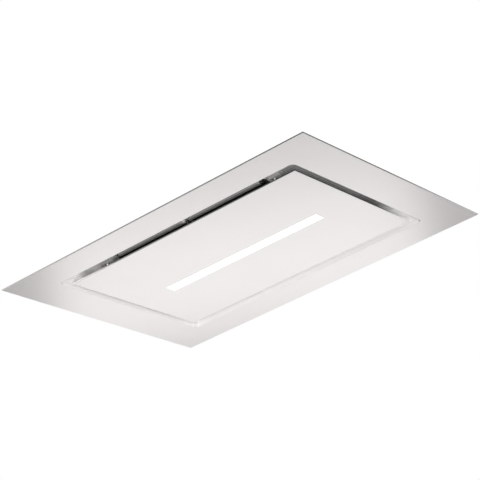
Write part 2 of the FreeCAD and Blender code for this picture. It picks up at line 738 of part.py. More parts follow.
def inlet_ring():
    """Bell mouth that hangs in the shelf's round opening and guides air into the impeller."""
    outer = INLET_RADIUS - RUNNING_FIT
    inner = outer - INLET_SHEET
    flange_z = SHELF_HEIGHT - INLET_SHEET
    low_z = flange_z - INLET_BELL
    flare = inner + INLET_BELL
    reach = outer + INLET_FLANGE
    thin = INLET_BELL - INLET_SHEET
    diagonal = math.sqrt(0.5)
    centre = V(flare, 0, flange_z)
    bell = Part.Arc(V(flare, 0, low_z), centre + V(-diagonal, 0, -diagonal) * INLET_BELL,
                    V(inner, 0, flange_z))
    back = Part.Arc(V(outer, 0, flange_z), centre + V(-diagonal, 0, -diagonal) * thin,
                    V(flare, 0, low_z + INLET_SHEET))
    upper = [V(inner, 0, flange_z), V(inner, 0, SCROLL_Z), V(outer, 0, SCROLL_Z),
             V(outer, 0, SHELF_HEIGHT), V(reach, 0, SHELF_HEIGHT), V(reach, 0, flange_z),
             V(outer, 0, flange_z)]
    lip = [V(flare, 0, low_z + INLET_SHEET), V(flare, 0, low_z)]
    edges = [bell.toShape()] + line_edges(upper) + [back.toShape()] + line_edges(lip)
    ring = Part.Face(Part.Wire(edges)).revolve(V(0, 0, 0), Z_AXIS, 360)
    return ring.translated(V(BLOWER_X, BLOWER_Y, 0))


def blower_scroll():
    outer = raise_face(scroll_face(SCROLL_SHEET), SCROLL_Z, SCROLL_HEIGHT)
    return outer.cut(raise_face(scroll_face(0), SCROLL_Z, SCROLL_HEIGHT))


def motor_mount_points():
    """Places of the rubber mounts around the motor's axis."""
    return [V(BLOWER_X, BLOWER_Y, 0) + polar(MOUNT_CIRCLE, 90 + 360 * i / MOUNT_COUNT)
            for i in range(MOUNT_COUNT)]


def blower_top():
    """Cover of the scroll, with the shaft opening and holes for the rubber mounts."""
    cover = raise_face(scroll_face(SCROLL_SHEET), SCROLL_TOP_Z, SCROLL_SHEET)
    cover = cover.cut(rod((BLOWER_X, BLOWER_Y, SCROLL_TOP_Z), Z_AXIS, HUB_RADIUS, SCROLL_SHEET))
    for point in motor_mount_points():
        cover = cover.cut(rod((point.x, point.y, SCROLL_TOP_Z), Z_AXIS,
                              MOUNT_BOLT_RADIUS + FASTENER_FIT, SCROLL_SHEET))
    return cover


def blade():
    """One forward-curved blade, standing on the lower ring."""
    arcs = []
    for offset in (0, BLADE_THICKNESS):
        inner = polar(IMPELLER_BORE, 0) + V(0, offset, 0)
        outer = polar(IMPELLER_RADIUS - BLADE_THICKNESS, 0) + V(0, BLADE_SWEEP + offset, 0)
        middle = (inner + outer) * 0.5 + V(0, -BLADE_BOW, 0)
        arcs.append(Part.Arc(inner, middle, outer).toShape())
    ends = [Part.LineSegment(arcs[0].valueAt(arcs[0].FirstParameter),
                             arcs[1].valueAt(arcs[1].FirstParameter)).toShape(),
            Part.LineSegment(arcs[0].valueAt(arcs[0].LastParameter),
                             arcs[1].valueAt(arcs[1].LastParameter)).toShape()]
    face = Part.Face(Part.Wire(Part.__sortEdges__(arcs + ends)))
    return face.translated(V(0, 0, IMPELLER_Z)).extrude(V(0, 0, IMPELLER_HEIGHT))


def impeller():
    """Squirrel-cage wheel: blades between a lower ring and a top disc with its hub."""
    top_z = IMPELLER_Z + IMPELLER_HEIGHT
    ring = tube((0, 0, IMPELLER_Z), Z_AXIS, IMPELLER_RADIUS, IMPELLER_BORE - IMPELLER_SHEET,
                IMPELLER_SHEET)
    disc = rod((0, 0, top_z - IMPELLER_SHEET), Z_AXIS, IMPELLER_RADIUS, IMPELLER_SHEET)
    hub = rod((0, 0, top_z - HUB_HEIGHT), Z_AXIS, HUB_RADIUS - IMPELLER_SHEET, HUB_HEIGHT)
    first = blade()
    blades = [first.rotated(V(0, 0, 0), Z_AXIS, 360 * i / BLADE_COUNT) for i in range(BLADE_COUNT)]
    wheel = join([disc, ring, hub] + blades)
    wheel = wheel.cut(rod((0, 0, IMPELLER_Z), Z_AXIS, SHAFT_RADIUS + RUNNING_FIT, IMPELLER_HEIGHT))
    return wheel.translated(V(BLOWER_X, BLOWER_Y, 0))


# ---------------------------------------------------------------- motor

def bearing_levels():
    """Undersides of the lower and the upper bearing."""
    return MOTOR_SEAT_Z, MOTOR_TOP_Z - BEARING_HEIGHT


def motor_can():
    """Closed can with a seat for a bearing at each end."""
    centre = (BLOWER_X, BLOWER_Y)
    wall = tube(centre + (MOTOR_Z,), Z_AXIS, MOTOR_RADIUS, MOTOR_RADIUS - MOTOR_WALL, MOTOR_HEIGHT)
    floor = rod(centre + (MOTOR_SEAT_Z,), Z_AXIS, MOTOR_RADIUS, MOTOR_FLANGE_THICKNESS)
    roof = rod(centre + (MOTOR_TOP_Z - MOTOR_WALL,), Z_AXIS, MOTOR_RADIUS, MOTOR_WALL)
    pieces = [wall, floor, roof]
    for low_z in bearing_levels():
        pieces.append(rod(centre + (low_z,), Z_AXIS, BEARING_RADIUS + MOTOR_WALL, BEARING_HEIGHT))
    return pieces


def lead_boss():
    """Boss on the can's -X side, where the lead comes out."""
    start = (BLOWER_X - MOTOR_RADIUS - LEAD_BOSS_LENGTH, BLOWER_Y, lead_z())
    return rod(start, X_AXIS, LEAD_RADIUS + LEAD_BOSS_WALL, LEAD_BOSS_LENGTH + MOTOR_WALL / 2)


def motor_housing():
    """Ribbed can on three lugs, with a boss for its lead."""
    arms = []
    for i in range(MOUNT_COUNT):
        web = slab(MOTOR_RADIUS / 2, LUG_RADIUS, MOTOR_SEAT_Z, MOTOR_Z,
                   (MOUNT_CIRCLE - MOTOR_RADIUS / 2, 0))
        web = web.rotated(V(0, 0, 0), Z_AXIS, 90 + 360 * i / MOUNT_COUNT)
        arms.append(web.translated(V(BLOWER_X, BLOWER_Y, 0)))
    for point in motor_mount_points():
        arms.append(rod((point.x, point.y, MOTOR_SEAT_Z), Z_AXIS, LUG_RADIUS, MOTOR_FLANGE_THICKNESS))
    ribs = []
    for i in range(MOTOR_RIB_COUNT):
        rib = slab(MOTOR_RIB_DEPTH, MOTOR_RIB_THICKNESS / 2, MOTOR_Z, MOTOR_TOP_Z - 2 * MOTOR_WALL,
                   (MOTOR_RADIUS, 0))
        rib = rib.rotated(V(0, 0, 0), Z_AXIS, 360 * i / MOTOR_RIB_COUNT)
        ribs.append(rib.translated(V(BLOWER_X, BLOWER_Y, 0)))
    housing = join(motor_can() + arms + ribs + [lead_boss()])
    for low_z in bearing_levels():
        housing = housing.cut(rod((BLOWER_X, BLOWER_Y, low_z), Z_AXIS, BEARING_RADIUS, BEARING_HEIGHT))
    for point in motor_mount_points():
        housing = housing.cut(rod((point.x, point.y, MOTOR_SEAT_Z), Z_AXIS,
                                  MOUNT_BOLT_RADIUS + FASTENER_FIT, MOTOR_FLANGE_THICKNESS))
    return housing


def motor_bearings():
    rings = []
    for low_z in bearing_levels():
        rings.append(tube((BLOWER_X, BLOWER_Y, low_z), Z_AXIS, BEARING_RADIUS - RUNNING_FIT,
                          SHAFT_RADIUS + RUNNING_FIT, BEARING_HEIGHT))
    return group(rings)


def motor_mounts():
    """Rubber bushes between the scroll's cover and the motor's lugs."""
    low_z = SCROLL_TOP_Z + SCROLL_SHEET
    return group([tube((p.x, p.y, low_z), Z_AXIS, MOUNT_RADIUS, MOUNT_BOLT_RADIUS + FASTENER_FIT,
                       MOUNT_HEIGHT) for p in motor_mount_points()])


def motor_bolts():
    """Bolts through the lugs, the bushes and the cover, with a nut below."""
    bolts = []
    head_z = MOTOR_Z
    foot_z = SCROLL_TOP_Z - NUT_HEIGHT
    for point in motor_mount_points():
        shank = rod((point.x, point.y, foot_z), Z_AXIS, MOUNT_BOLT_RADIUS, head_z - foot_z)
        head = hexagon((point.x, point.y, head_z), Z_AXIS, NUT_ACROSS, NUT_HEIGHT)
        nut = hexagon((point.x, point.y, foot_z), Z_AXIS, NUT_ACROSS, NUT_HEIGHT)
        bolts.append(join([shank, head, nut]))
    return group(bolts)


def motor_shaft():
    """Shaft and rotor core, from the impeller's hub to the upper bearing."""
    low_z = IMPELLER_Z + IMPELLER_HEIGHT - HUB_HEIGHT
    shaft = rod((BLOWER_X, BLOWER_Y, low_z), Z_AXIS, SHAFT_RADIUS, MOTOR_TOP_Z - low_z)
    core = rod((BLOWER_X, BLOWER_Y, CORE_Z), Z_AXIS, MOTOR_RADIUS / 2, CORE_HEIGHT)
    return join([shaft, core])


def motor_winding():
    """Stator ring with its winding, pressed into the can around the rotor core."""
    return tube((BLOWER_X, BLOWER_Y, CORE_Z), Z_AXIS, MOTOR_RADIUS - MOTOR_WALL,
                MOTOR_RADIUS / 2 + ROTOR_AIR_GAP, CORE_HEIGHT)


def lead_z():
    return MOTOR_Z + MOTOR_HEIGHT / 2


def rounded_path(points):
    """Straight runs joined by tangent arcs, each nearly as large as its two runs allow."""
    edges = []
    start = points[0]
    for before, corner, after in zip(points, points[1:], points[2:]):
        reach = LEAD_ARC_SHARE * min((before - corner).Length, (after - corner).Length)
        back = (before - corner).normalize()
        onward = (after - corner).normalize()
        half_turn = (math.pi - back.getAngle(onward)) / 2
        radius = reach / math.tan(half_turn)
        sagitta = radius / math.cos(half_turn) - radius
        middle = corner + (back + onward).normalize() * sagitta
        first = corner + back * reach
        last = corner + onward * reach
        edges.append(Part.LineSegment(start, first).toShape())
        edges.append(Part.Arc(first, middle, last).toShape())
        start = last
    edges.append(Part.LineSegment(start, points[-1]).toShape())
    return Part.Wire(edges)


def motor_lead():
    """Round lead from the motor's boss through the grommet to the back of the board."""
    start = V(BLOWER_X - MOTOR_RADIUS - LEAD_BOSS_LENGTH, BLOWER_Y, lead_z())
    end = V(BOARD_BACK_X, 0, CONTROL_Z)
    path = rounded_path([start, start - X_AXIS * LEAD_START, end + X_AXIS * LEAD_END, end])
    section = Part.Wire(Part.makeCircle(LEAD_RADIUS, start, X_AXIS))
    return path.makePipeShell([section], True, False)


# ---------------------------------------------------------------- outlet

def spigot_screw_points():
    """Corner screws of the spigot's flange, as Y and Z."""
    reach = SPIGOT_FLANGE / 2 - 2 * RIVET_HEAD_RADIUS
    return [(y, OUTLET_Z + z) for y in (-reach, reach) for z in (-reach, reach)]


def section_wire(x, half_y, half_z, corner):
    """Upright rectangle with round corners, in a plane across the duct."""
    edges = []
    for side_y, side_z in ((1, 1), (-1, 1), (-1, -1), (1, -1)):
        centre = V(x, side_y * (half_y - corner), DUCT_Z + side_z * (half_z - corner))
        along_y = V(0, side_y * corner, 0)
        along_z = V(0, 0, side_z * corner)
        middle = (along_y + along_z) * math.sqrt(0.5)
        ends = (along_y, along_z) if side_y * side_z > 0 else (along_z, along_y)
        edges.append(Part.Arc(centre + ends[0], centre + middle, centre + ends[1]).toShape())
    wire = []
    for i, arc in enumerate(edges):
        following = edges[(i + 1) % 4]
        first = arc.valueAt(arc.LastParameter)
        last = following.valueAt(following.FirstParameter)
        wire += [arc, Part.LineSegment(first, last).toShape()]
    return Part.Wire(wire)


def round_wire(x, radius, flat_angle):
    """Circle across the duct, cut into short and long arcs that match section_wire."""
    edges = []
    bounds = []
    for quarter in range(4):
        middle = 45 + 90 * quarter
        bounds += [middle - 45 + flat_angle, middle + 45 - flat_angle]
    for i in range(8):
        first = bounds[i]
        last = bounds[(i + 1) % 8] + (360 if i == 7 else 0)
        points = []
        for angle in (first, (first + last) / 2, last):
            turn = math.radians(angle)
            points.append(V(x, radius * math.cos(turn), OUTLET_Z + radius * math.sin(turn)))
        edges.append(Part.Arc(*points).toShape())
    return Part.Wire(edges)


def outlet_adaptor():
    """Transition from the scroll's rectangular duct to the round outlet."""
    half_y = (SCROLL_TOP_REACH - TONGUE_REACH_Y) / 2
    half_z = SCROLL_HEIGHT / 2
    skins = []
    for grow in (0, ADAPTOR_SHEET):
        small = section_wire(DUCT_END, half_y + grow, half_z + grow, ADAPTOR_CORNER)
        large = round_wire(BODY_X, SPIGOT_BORE + grow, ADAPTOR_FLAT_ANGLE)
        skins.append(Part.makeLoft([small, large], True, True))
    return skins[1].cut(skins[0])


def outlet_spigot():
    """Collar for the duct on a square flange, with bosses for the damper pin."""
    half = SPIGOT_FLANGE / 2
    face_x = SPIGOT_X + SPIGOT_FLANGE_THICKNESS
    flange = box((SPIGOT_X, -half, OUTLET_Z - half), (face_x, half, OUTLET_Z + half))
    collar = rod((SPIGOT_X, 0, OUTLET_Z), X_AXIS, SPIGOT_RADIUS, SPIGOT_LENGTH)
    spigot = join([flange, collar])
    spigot = spigot.cut(rod((SPIGOT_X, 0, OUTLET_Z), X_AXIS, SPIGOT_BORE, SPIGOT_LENGTH))
    spigot = spigot.cut(rod((FLAP_X, 0, OUTLET_Z - SPIGOT_RADIUS), Z_AXIS,
                            FLAP_PIN_RADIUS + RUNNING_FIT, 2 * SPIGOT_RADIUS))
    for y, z in spigot_screw_points():
        spigot = spigot.cut(rod((SPIGOT_X, y, z), X_AXIS, RIVET_RADIUS + FASTENER_FIT,
                                SPIGOT_FLANGE_THICKNESS))
    return spigot


def spigot_screws():
    face_x = SPIGOT_X + SPIGOT_FLANGE_THICKNESS
    grip = SPIGOT_FLANGE_THICKNESS + BODY_SHEET
    return group([rivet((face_x, y, z), X_AXIS, grip) for y, z in spigot_screw_points()])


def damper_pin():
    reach = SPIGOT_RADIUS - FASTENER_FIT
    return rod((FLAP_X, 0, OUTLET_Z - reach), Z_AXIS, FLAP_PIN_RADIUS, 2 * reach)


def damper_flap(side):
    """Half disc that closes one side of the spigot, with every second knuckle on the pin."""
    radius = SPIGOT_BORE - FLAP_EDGE_GAP
    knuckle_reach = radius - 2 * FLAP_KNUCKLE_RADIUS
    half_t = FLAP_THICKNESS / 2
    disc = rod((FLAP_X - half_t, 0, OUTLET_Z), X_AXIS, radius, FLAP_THICKNESS)
    start = FLAP_KNUCKLE_RADIUS + FLAP_EDGE_GAP
    keep = box((FLAP_X - half_t, start, OUTLET_Z - radius),
               (FLAP_X + half_t, radius, OUTLET_Z + radius))
    if side < 0:
        keep = mirror_y(keep)
    pieces = [disc.common(keep)]
    pitch = 2 * knuckle_reach / FLAP_KNUCKLES
    for i in range(FLAP_KNUCKLES):
        if (i % 2 == 0) != (side > 0):
            continue
        low_z = OUTLET_Z - knuckle_reach + i * pitch + HINGE_SIDE_GAP / 2
        height = pitch - HINGE_SIDE_GAP
        ends = sorted((0, side * (start + FLAP_THICKNESS)))
        pieces.append(rod((FLAP_X, 0, low_z), Z_AXIS, FLAP_KNUCKLE_RADIUS, height))
        pieces.append(box((FLAP_X - half_t, ends[0], low_z), (FLAP_X + half_t, ends[1], low_z + height)))
    flap = join(pieces)
    return flap.cut(rod((FLAP_X, 0, OUTLET_Z - radius), Z_AXIS, FLAP_PIN_RADIUS + RUNNING_FIT,
                        2 * radius))


# ---------------------------------------------------------------- controls

def control_box():
    """Open sheet box on the left side, with holes for the gland and the motor lead."""
    half = CONTROL_LENGTH / 2
    top = CONTROL_BASE + CONTROL_HEIGHT
    far_x = CONTROL_X - CONTROL_DEPTH
    shell = box((far_x, -half, CONTROL_BASE), (CONTROL_X, half, top))
    t = CONTROL_SHEET
    shell = shell.cut(box((far_x, t - half, CONTROL_BASE + t), (CONTROL_X - t, half - t, top - t)))
    shell = shell.cut(rod((CONTROL_X - t, 0, CONTROL_Z), X_AXIS, GROMMET_RADIUS, t))
    return shell.cut(rod((gland_x(), -half, CONTROL_Z), Y_AXIS, GLAND_RADIUS + FASTENER_FIT, t))


def gland_x():
    return CONTROL_X - CONTROL_DEPTH / 2


def control_cover():
    """Cover over the box's open side, with a rim that plugs into it."""
    far_x = CONTROL_X - CONTROL_DEPTH
    half = CONTROL_LENGTH / 2
    top = CONTROL_BASE + CONTROL_HEIGHT
    plate = box((far_x - CONTROL_SHEET, -half, CONTROL_BASE), (far_x, half, top))
    t = CONTROL_SHEET
    rim = box((far_x, t - half, CONTROL_BASE + t), (far_x + CONTROL_RIM, half - t, top - t))
    rim = rim.cut(box((far_x, 2 * t - half, CONTROL_BASE + 2 * t),
                      (far_x + CONTROL_RIM, half - 2 * t, top - 2 * t)))
    return join([plate, rim])


def lead_grommet():
    """Rubber ring around the lead, in the wall of the body and of the control box."""
    inner_x = -BODY_X
    outer_x = CONTROL_X - CONTROL_SHEET
    lip = GROMMET_LIP_THICKNESS
    reach = GROMMET_RADIUS + GROMMET_LIP
    neck = rod((outer_x, 0, CONTROL_Z), X_AXIS, GROMMET_RADIUS, inner_x - outer_x)
    lips = [rod((x, 0, CONTROL_Z), X_AXIS, reach, lip) for x in (outer_x - lip, inner_x)]
    ring = join([neck] + lips)
    return ring.cut(rod((outer_x - lip, 0, CONTROL_Z), X_AXIS, LEAD_RADIUS + FASTENER_FIT,
                        inner_x - outer_x + 2 * lip))


def control_board():
    """Board on four posts with its relays, transformer and plug strip."""
    x = BOARD_BACK_X - BOARD_THICKNESS
    low_z = CONTROL_Z - BOARD_HEIGHT / 2
    high_y = BOARD_Y + BOARD_LENGTH
    high_z = low_z + BOARD_HEIGHT
    pieces = [box((x, BOARD_Y, low_z), (BOARD_BACK_X, high_y, high_z))]
    for y in (BOARD_Y + BOARD_POST_INSET, high_y - BOARD_POST_INSET):
        for z in (low_z + BOARD_POST_INSET, high_z - BOARD_POST_INSET):
            pieces.append(rod((BOARD_BACK_X, y, z), X_AXIS, BOARD_POST_RADIUS, BOARD_STANDOFF))
    foot_z = low_z + BOARD_MARGIN
    for i in range(RELAY_COUNT):
        y = BOARD_Y + BOARD_MARGIN + RELAY_PITCH * i
        pieces.append(box((x - RELAY_DEPTH, y, foot_z), (x, y + RELAY_WIDTH, foot_z + RELAY_HEIGHT)))
    pieces.append(box((x - TRANSFORMER_DEPTH, high_y - TRANSFORMER_WIDTH, foot_z),
                      (x, high_y, foot_z + TRANSFORMER_HEIGHT)))
    head_z = high_z - BOARD_MARGIN
    pieces.append(box((x - PLUG_STRIP_DEPTH, BOARD_Y + BOARD_MARGIN, head_z - PLUG_STRIP_HEIGHT),
                      (x, BOARD_Y + BOARD_MARGIN + PLUG_STRIP_WIDTH, head_z)))
    return join(pieces)


def motor_capacitor():
    """Run capacitor clipped to the back of the control box."""
    x = CONTROL_X - CONTROL_SHEET - CAPACITOR_RADIUS
    z = CONTROL_BASE + CONTROL_SHEET + CAPACITOR_RADIUS
    end_y = DRIVER_Y + CAPACITOR_LENGTH
    half_w = CAPACITOR_TAG_WIDTH / 2
    half_t = CAPACITOR_TAG_THICKNESS / 2
    can = rod((x, DRIVER_Y, z), Y_AXIS, CAPACITOR_RADIUS, CAPACITOR_LENGTH)
    tag = box((x - half_w, end_y, z - half_t), (x + half_w, end_y + CAPACITOR_TAG_LENGTH, z + half_t))
    return join([can, tag])


def led_driver():
    """Power supply of the light strip, on the roof of the control box."""
    high_z = CONTROL_BASE + CONTROL_HEIGHT - CONTROL_SHEET
    x = CONTROL_X - CONTROL_SHEET
    return box((x - DRIVER_DEPTH, DRIVER_Y, high_z - DRIVER_HEIGHT),
               (x, DRIVER_Y + DRIVER_LENGTH, high_z))


def terminal_block():
    """Row of screw terminals on the floor of the control box, next to the gland."""
    x = CONTROL_X - CONTROL_DEPTH + CONTROL_RIM + CONTROL_CLEARANCE / 2 + TERMINAL_DEPTH / 2
    z = CONTROL_BASE + CONTROL_SHEET
    low_y = DRIVER_Y
    length = TERMINAL_COUNT * TERMINAL_PITCH
    block = box((x - TERMINAL_DEPTH / 2, low_y, z),
                (x + TERMINAL_DEPTH / 2, low_y + length, z + TERMINAL_HEIGHT))
    for i in range(TERMINAL_COUNT):
        y = low_y + TERMINAL_PITCH * (i + 0.5)
        well = rod((x, y, z + TERMINAL_HEIGHT / 2), Z_AXIS, TERMINAL_PITCH / 3, TERMINAL_HEIGHT / 2)
        block = block.cut(well)
    return block


def cable_gland():
    """Threaded gland through the box wall, with its dome nut outside and lock nut inside."""
    wall_y = -CONTROL_LENGTH / 2
    centre = (gland_x(), wall_y, CONTROL_Z)
    inner_y = wall_y + CONTROL_SHEET
    thread = rod((centre[0], wall_y, centre[2]), Y_AXIS, GLAND_RADIUS, GLAND_INNER_LENGTH)
    hex_nut = hexagon(centre, -Y_AXIS, GLAND_NUT_ACROSS, GLAND_NUT_HEIGHT)
    neck = rod((centre[0], wall_y - GLAND_NUT_HEIGHT, centre[2]), -Y_AXIS, GLAND_RADIUS,
               GLAND_OUTER_LENGTH - GLAND_NUT_HEIGHT)
    dome = Part.makeCone(GLAND_DOME_RADIUS, GLAND_RADIUS, GLAND_OUTER_LENGTH - 2 * GLAND_NUT_HEIGHT,
                         V(centre[0], wall_y - 2 * GLAND_NUT_HEIGHT, centre[2]), -Y_AXIS)
    lock = hexagon((centre[0], inner_y, centre[2]), Y_AXIS, GLAND_NUT_ACROSS, GLAND_NUT_HEIGHT)
    gland = join([thread, hex_nut, neck, dome, lock])
    length = GLAND_OUTER_LENGTH + GLAND_INNER_LENGTH
    return gland.cut(rod((centre[0], wall_y - GLAND_OUTER_LENGTH, centre[2]), Y_AXIS,
                         GLAND_BORE_RADIUS, length))


# ---------------------------------------------------------------- hinges and catches

def hinge_screw_points():
    """Screws through the hinge feet and the intake plate."""
    y = HINGE_Y + HINGE_SCREW_REACH
    shift = HINGE_WIDTH / 2 - HINGE_SCREW_INSET
    return [(side * HINGE_X + x, y) for side in (-1, 1) for x in (-shift, shift)]


def catch_screw_points():
    """Screws through the catch holders and the intake plate."""
    reach = (CATCH_LENGTH + MAGNET_LENGTH) / 4
    return [(side * CATCH_X + shift, CATCH_Y) for side in (-1, 1) for shift in (-reach, reach)]


def hinge_bracket():
    """Right fixed hinge half: foot under the intake plate, web, and the two outer knuckles."""
    half = HINGE_WIDTH / 2
    half_t = HINGE_SHEET / 2
    inner = HINGE_MIDDLE / 2 + HINGE_SIDE_GAP
    web_low = HINGE_HEIGHT + HINGE_KNUCKLE_RADIUS + HINGE_WEB_LIFT
    web = box((HINGE_X - half, HINGE_Y - half_t, web_low), (HINGE_X + half, HINGE_Y + half_t, INTAKE_Z))
    foot = box((HINGE_X - half, HINGE_Y - half_t, INTAKE_Z - HINGE_SHEET),
               (HINGE_X + half, HINGE_Y + HINGE_FOOT, INTAKE_Z))
    pieces = [web, foot]
    for low_x, high_x in ((HINGE_X - half, HINGE_X - inner), (HINGE_X + inner, HINGE_X + half)):
        pieces.append(box((low_x, HINGE_Y - half_t, HINGE_HEIGHT), (high_x, HINGE_Y + half_t, web_low)))
        pieces.append(rod((low_x, HINGE_Y, HINGE_HEIGHT), X_AXIS, HINGE_KNUCKLE_RADIUS, high_x - low_x))
    bracket = join(pieces)
    bracket = bracket.cut(rod((HINGE_X - half, HINGE_Y, HINGE_HEIGHT), X_AXIS,
                              HINGE_PIN_RADIUS + RUNNING_FIT, HINGE_WIDTH))
    for x, y in hinge_screw_points():
        bracket = bracket.cut(rod((x, y, INTAKE_Z - HINGE_SHEET), Z_AXIS,
                                  RIVET_RADIUS + FASTENER_FIT, HINGE_SHEET))
    return bracket


def hinge_pin():
    """Right pin, with a head outside the outer knuckle."""
    half = HINGE_WIDTH / 2
    pin = rod((HINGE_X - half, HINGE_Y, HINGE_HEIGHT), X_AXIS, HINGE_PIN_RADIUS, HINGE_WIDTH)
    head = rod((HINGE_X + half, HINGE_Y, HINGE_HEIGHT), X_AXIS, HINGE_PIN_HEAD_RADIUS,
               HINGE_PIN_HEAD_HEIGHT)
    return join([pin, head])


def hinge_leaf():
    """Right moving half: plate on the panel's back, arm, and the middle knuckle."""
    half = HINGE_MIDDLE / 2
    back = HINGE_Y - HINGE_KNUCKLE_RADIUS
    plate = box((HINGE_X - HINGE_WIDTH / 2, back - LEAF_LENGTH, PANEL_SHEET),
                (HINGE_X + HINGE_WIDTH / 2, back, PANEL_SHEET + LEAF_SHEET))
    web = box((HINGE_X - half, back - LEAF_SHEET, PANEL_SHEET), (HINGE_X + half, back, HINGE_HEIGHT))
    arm = box((HINGE_X - half, back - LEAF_SHEET, HINGE_HEIGHT - LEAF_SHEET),
              (HINGE_X + half, HINGE_Y, HINGE_HEIGHT))
    knuckle = rod((HINGE_X - half, HINGE_Y, HINGE_HEIGHT), X_AXIS, HINGE_KNUCKLE_RADIUS, HINGE_MIDDLE)
    leaf = join([plate, web, arm, knuckle])
    return leaf.cut(rod((HINGE_X - half, HINGE_Y, HINGE_HEIGHT), X_AXIS,
                        HINGE_PIN_RADIUS + RUNNING_FIT, HINGE_MIDDLE))


def magnet_catch():
    """Right catch holder under the intake plate, with a pocket for its magnet."""
    low_z = INTAKE_Z - CATCH_HEIGHT
    centre = (CATCH_X, CATCH_Y)
    holder = rounded_slab(CATCH_LENGTH / 2, CATCH_WIDTH / 2, CATCH_CORNER, low_z, INTAKE_Z, centre)
    holder = holder.cut(slab(MAGNET_LENGTH / 2, MAGNET_WIDTH / 2, low_z, low_z + MAGNET_HEIGHT, centre))
    for x, y in catch_screw_points():
        if x > 0:
            hole = rod((x, y, low_z), Z_AXIS, RIVET_RADIUS + FASTENER_FIT, CATCH_HEIGHT)
            well = rod((x, y, low_z), Z_AXIS, RIVET_HEAD_RADIUS + FASTENER_FIT, MAGNET_HEIGHT)
            holder = holder.cut(hole).cut(well)
    return holder


def catch_magnet():
    low_z = INTAKE_Z - CATCH_HEIGHT
    return slab(MAGNET_LENGTH / 2, MAGNET_WIDTH / 2, low_z, low_z + MAGNET_HEIGHT, (CATCH_X, CATCH_Y))


def plug_points():
    """Gauge holes of the recess ceiling, behind the catches."""
    return [(side * CATCH_X, CATCH_Y + PLUG_OFFSET) for side in (-1, 1)]


def hole_plugs():
    """Snap-in plugs with a flat head below the recess ceiling."""
    plugs = []
    for x, y in plug_points():
        head = rod((x, y, INTAKE_Z - PLUG_HEAD_HEIGHT), Z_AXIS, PLUG_HEAD_RADIUS, PLUG_HEAD_HEIGHT)
        plugs.append(join([head, rod((x, y, INTAKE_Z), Z_AXIS, PLUG_RADIUS, PLUG_DEPTH)]))
    return group(plugs)


def recess_screws():
    """Screws of the hinge feet and the catch holders, put in from below."""
    screws = [rivet((x, y, INTAKE_Z - HINGE_SHEET), -Z_AXIS, HINGE_SHEET + INTAKE_SHEET)
              for x, y in hinge_screw_points()]
    seat = INTAKE_Z - CATCH_HEIGHT + MAGNET_HEIGHT
    screws += [rivet((x, y, seat), -Z_AXIS, INTAKE_TOP_Z - seat) for x, y in catch_screw_points()]
    return group(screws)


def catch_strike():
    """Right strike: foot on the panel's back, with the steel pin that meets the magnet."""
    top = INTAKE_Z - CATCH_HEIGHT - CATCH_AIR_GAP
    centre = (CATCH_X, CATCH_Y)
    foot = slab(STRIKE_LENGTH / 2, STRIKE_WIDTH / 2, PANEL_SHEET, PANEL_SHEET + STRIKE_PLATE, centre)
    pin = rod((CATCH_X, CATCH_Y, PANEL_SHEET), Z_AXIS, STRIKE_PIN_RADIUS, top - PANEL_SHEET)
    return join([foot, pin])


# ---------------------------------------------------------------- panel and light

def light_slot(grow, low_z, high_z):
    """Block of the light strip's outline, grown on every side."""
    return slab(LIGHT_LENGTH / 2 + grow, LIGHT_WIDTH / 2 + grow, low_z, high_z, (0, LIGHT_OFFSET))


def panel_face():
    """Sheet with a folded edge and the long slot for the light."""
    edge = slab(PANEL_X, PANEL_Y, 0, PANEL_EDGE_HEIGHT)
    edge = edge.cut(slab(PANEL_X - PANEL_EDGE_WIDTH, PANEL_Y - PANEL_EDGE_WIDTH,
                         PANEL_SHEET, PANEL_EDGE_HEIGHT))
    return round_fold(edge, 0).cut(light_slot(LIGHT_FIT, 0, PANEL_SHEET))


def tray_bounds():
    """Low and high corner of the tray's walls, as X and Y: between the strikes and the hinges."""
    room = TRAY_FLANGE + TRAY_CLEARANCE
    low_y = CATCH_Y + STRIKE_WIDTH / 2 + room
    high_y = HINGE_Y - HINGE_KNUCKLE_RADIUS - LEAF_LENGTH - room
    half_x = PANEL_X - TRAY_INSET_ENDS
    return (-half_x, low_y), (half_x, high_y)


def panel_tray():
    """Stiffening tray bonded to the panel's back, over the light."""
    (low_x, low_y), (high_x, high_y) = tray_bounds()
    f = TRAY_FLANGE
    t = TRAY_SHEET
    flange = box((low_x - f, low_y - f, PANEL_SHEET), (high_x + f, high_y + f, PANEL_SHEET + t))
    dome = box((low_x, low_y, PANEL_SHEET), (high_x, high_y, TRAY_HEIGHT))
    inside = box((low_x + t, low_y + t, PANEL_SHEET), (high_x - t, high_y - t, TRAY_HEIGHT - t))
    return join([flange, dome]).cut(inside)


def led_housing():
    """Channel over the light's flange, which also cools the board."""
    outer = LIGHT_FLANGE + HOUSING_WALL
    top = PANEL_SHEET + HOUSING_HEIGHT
    body = light_slot(outer, PANEL_SHEET, top)
    body = body.cut(light_slot(LIGHT_FLANGE, PANEL_SHEET, LIGHT_TOP_Z))
    return body.cut(light_slot(0, LIGHT_TOP_Z, top - HOUSING_WALL))


def led_diffuser():
    """Opal strip flush in the panel, with a flange behind the sheet."""
    strip = light_slot(0, 0, LIGHT_TOP_Z)
    flange = light_slot(LIGHT_FLANGE, PANEL_SHEET, LIGHT_TOP_Z)
    return join([strip, flange])


def led_board():
    """Narrow board with its row of light-emitting diodes, under the roof of the housing."""
    top = PANEL_SHEET + HOUSING_HEIGHT - HOUSING_WALL
    low = top - LED_BOARD_THICKNESS
    half_x = LIGHT_LENGTH / 2 - LED_BOARD_INSET
    board = slab(half_x, LED_BOARD_WIDTH / 2, low, top, (0, LIGHT_OFFSET))
    chips = [slab(LED_SIZE / 2, LED_SIZE / 2, low - LED_HEIGHT, low, (x, LIGHT_OFFSET))
             for x in spread(LED_COUNT, half_x - LED_SIZE)]
    return join([board] + chips)


# ---------------------------------------------------------------- nodes

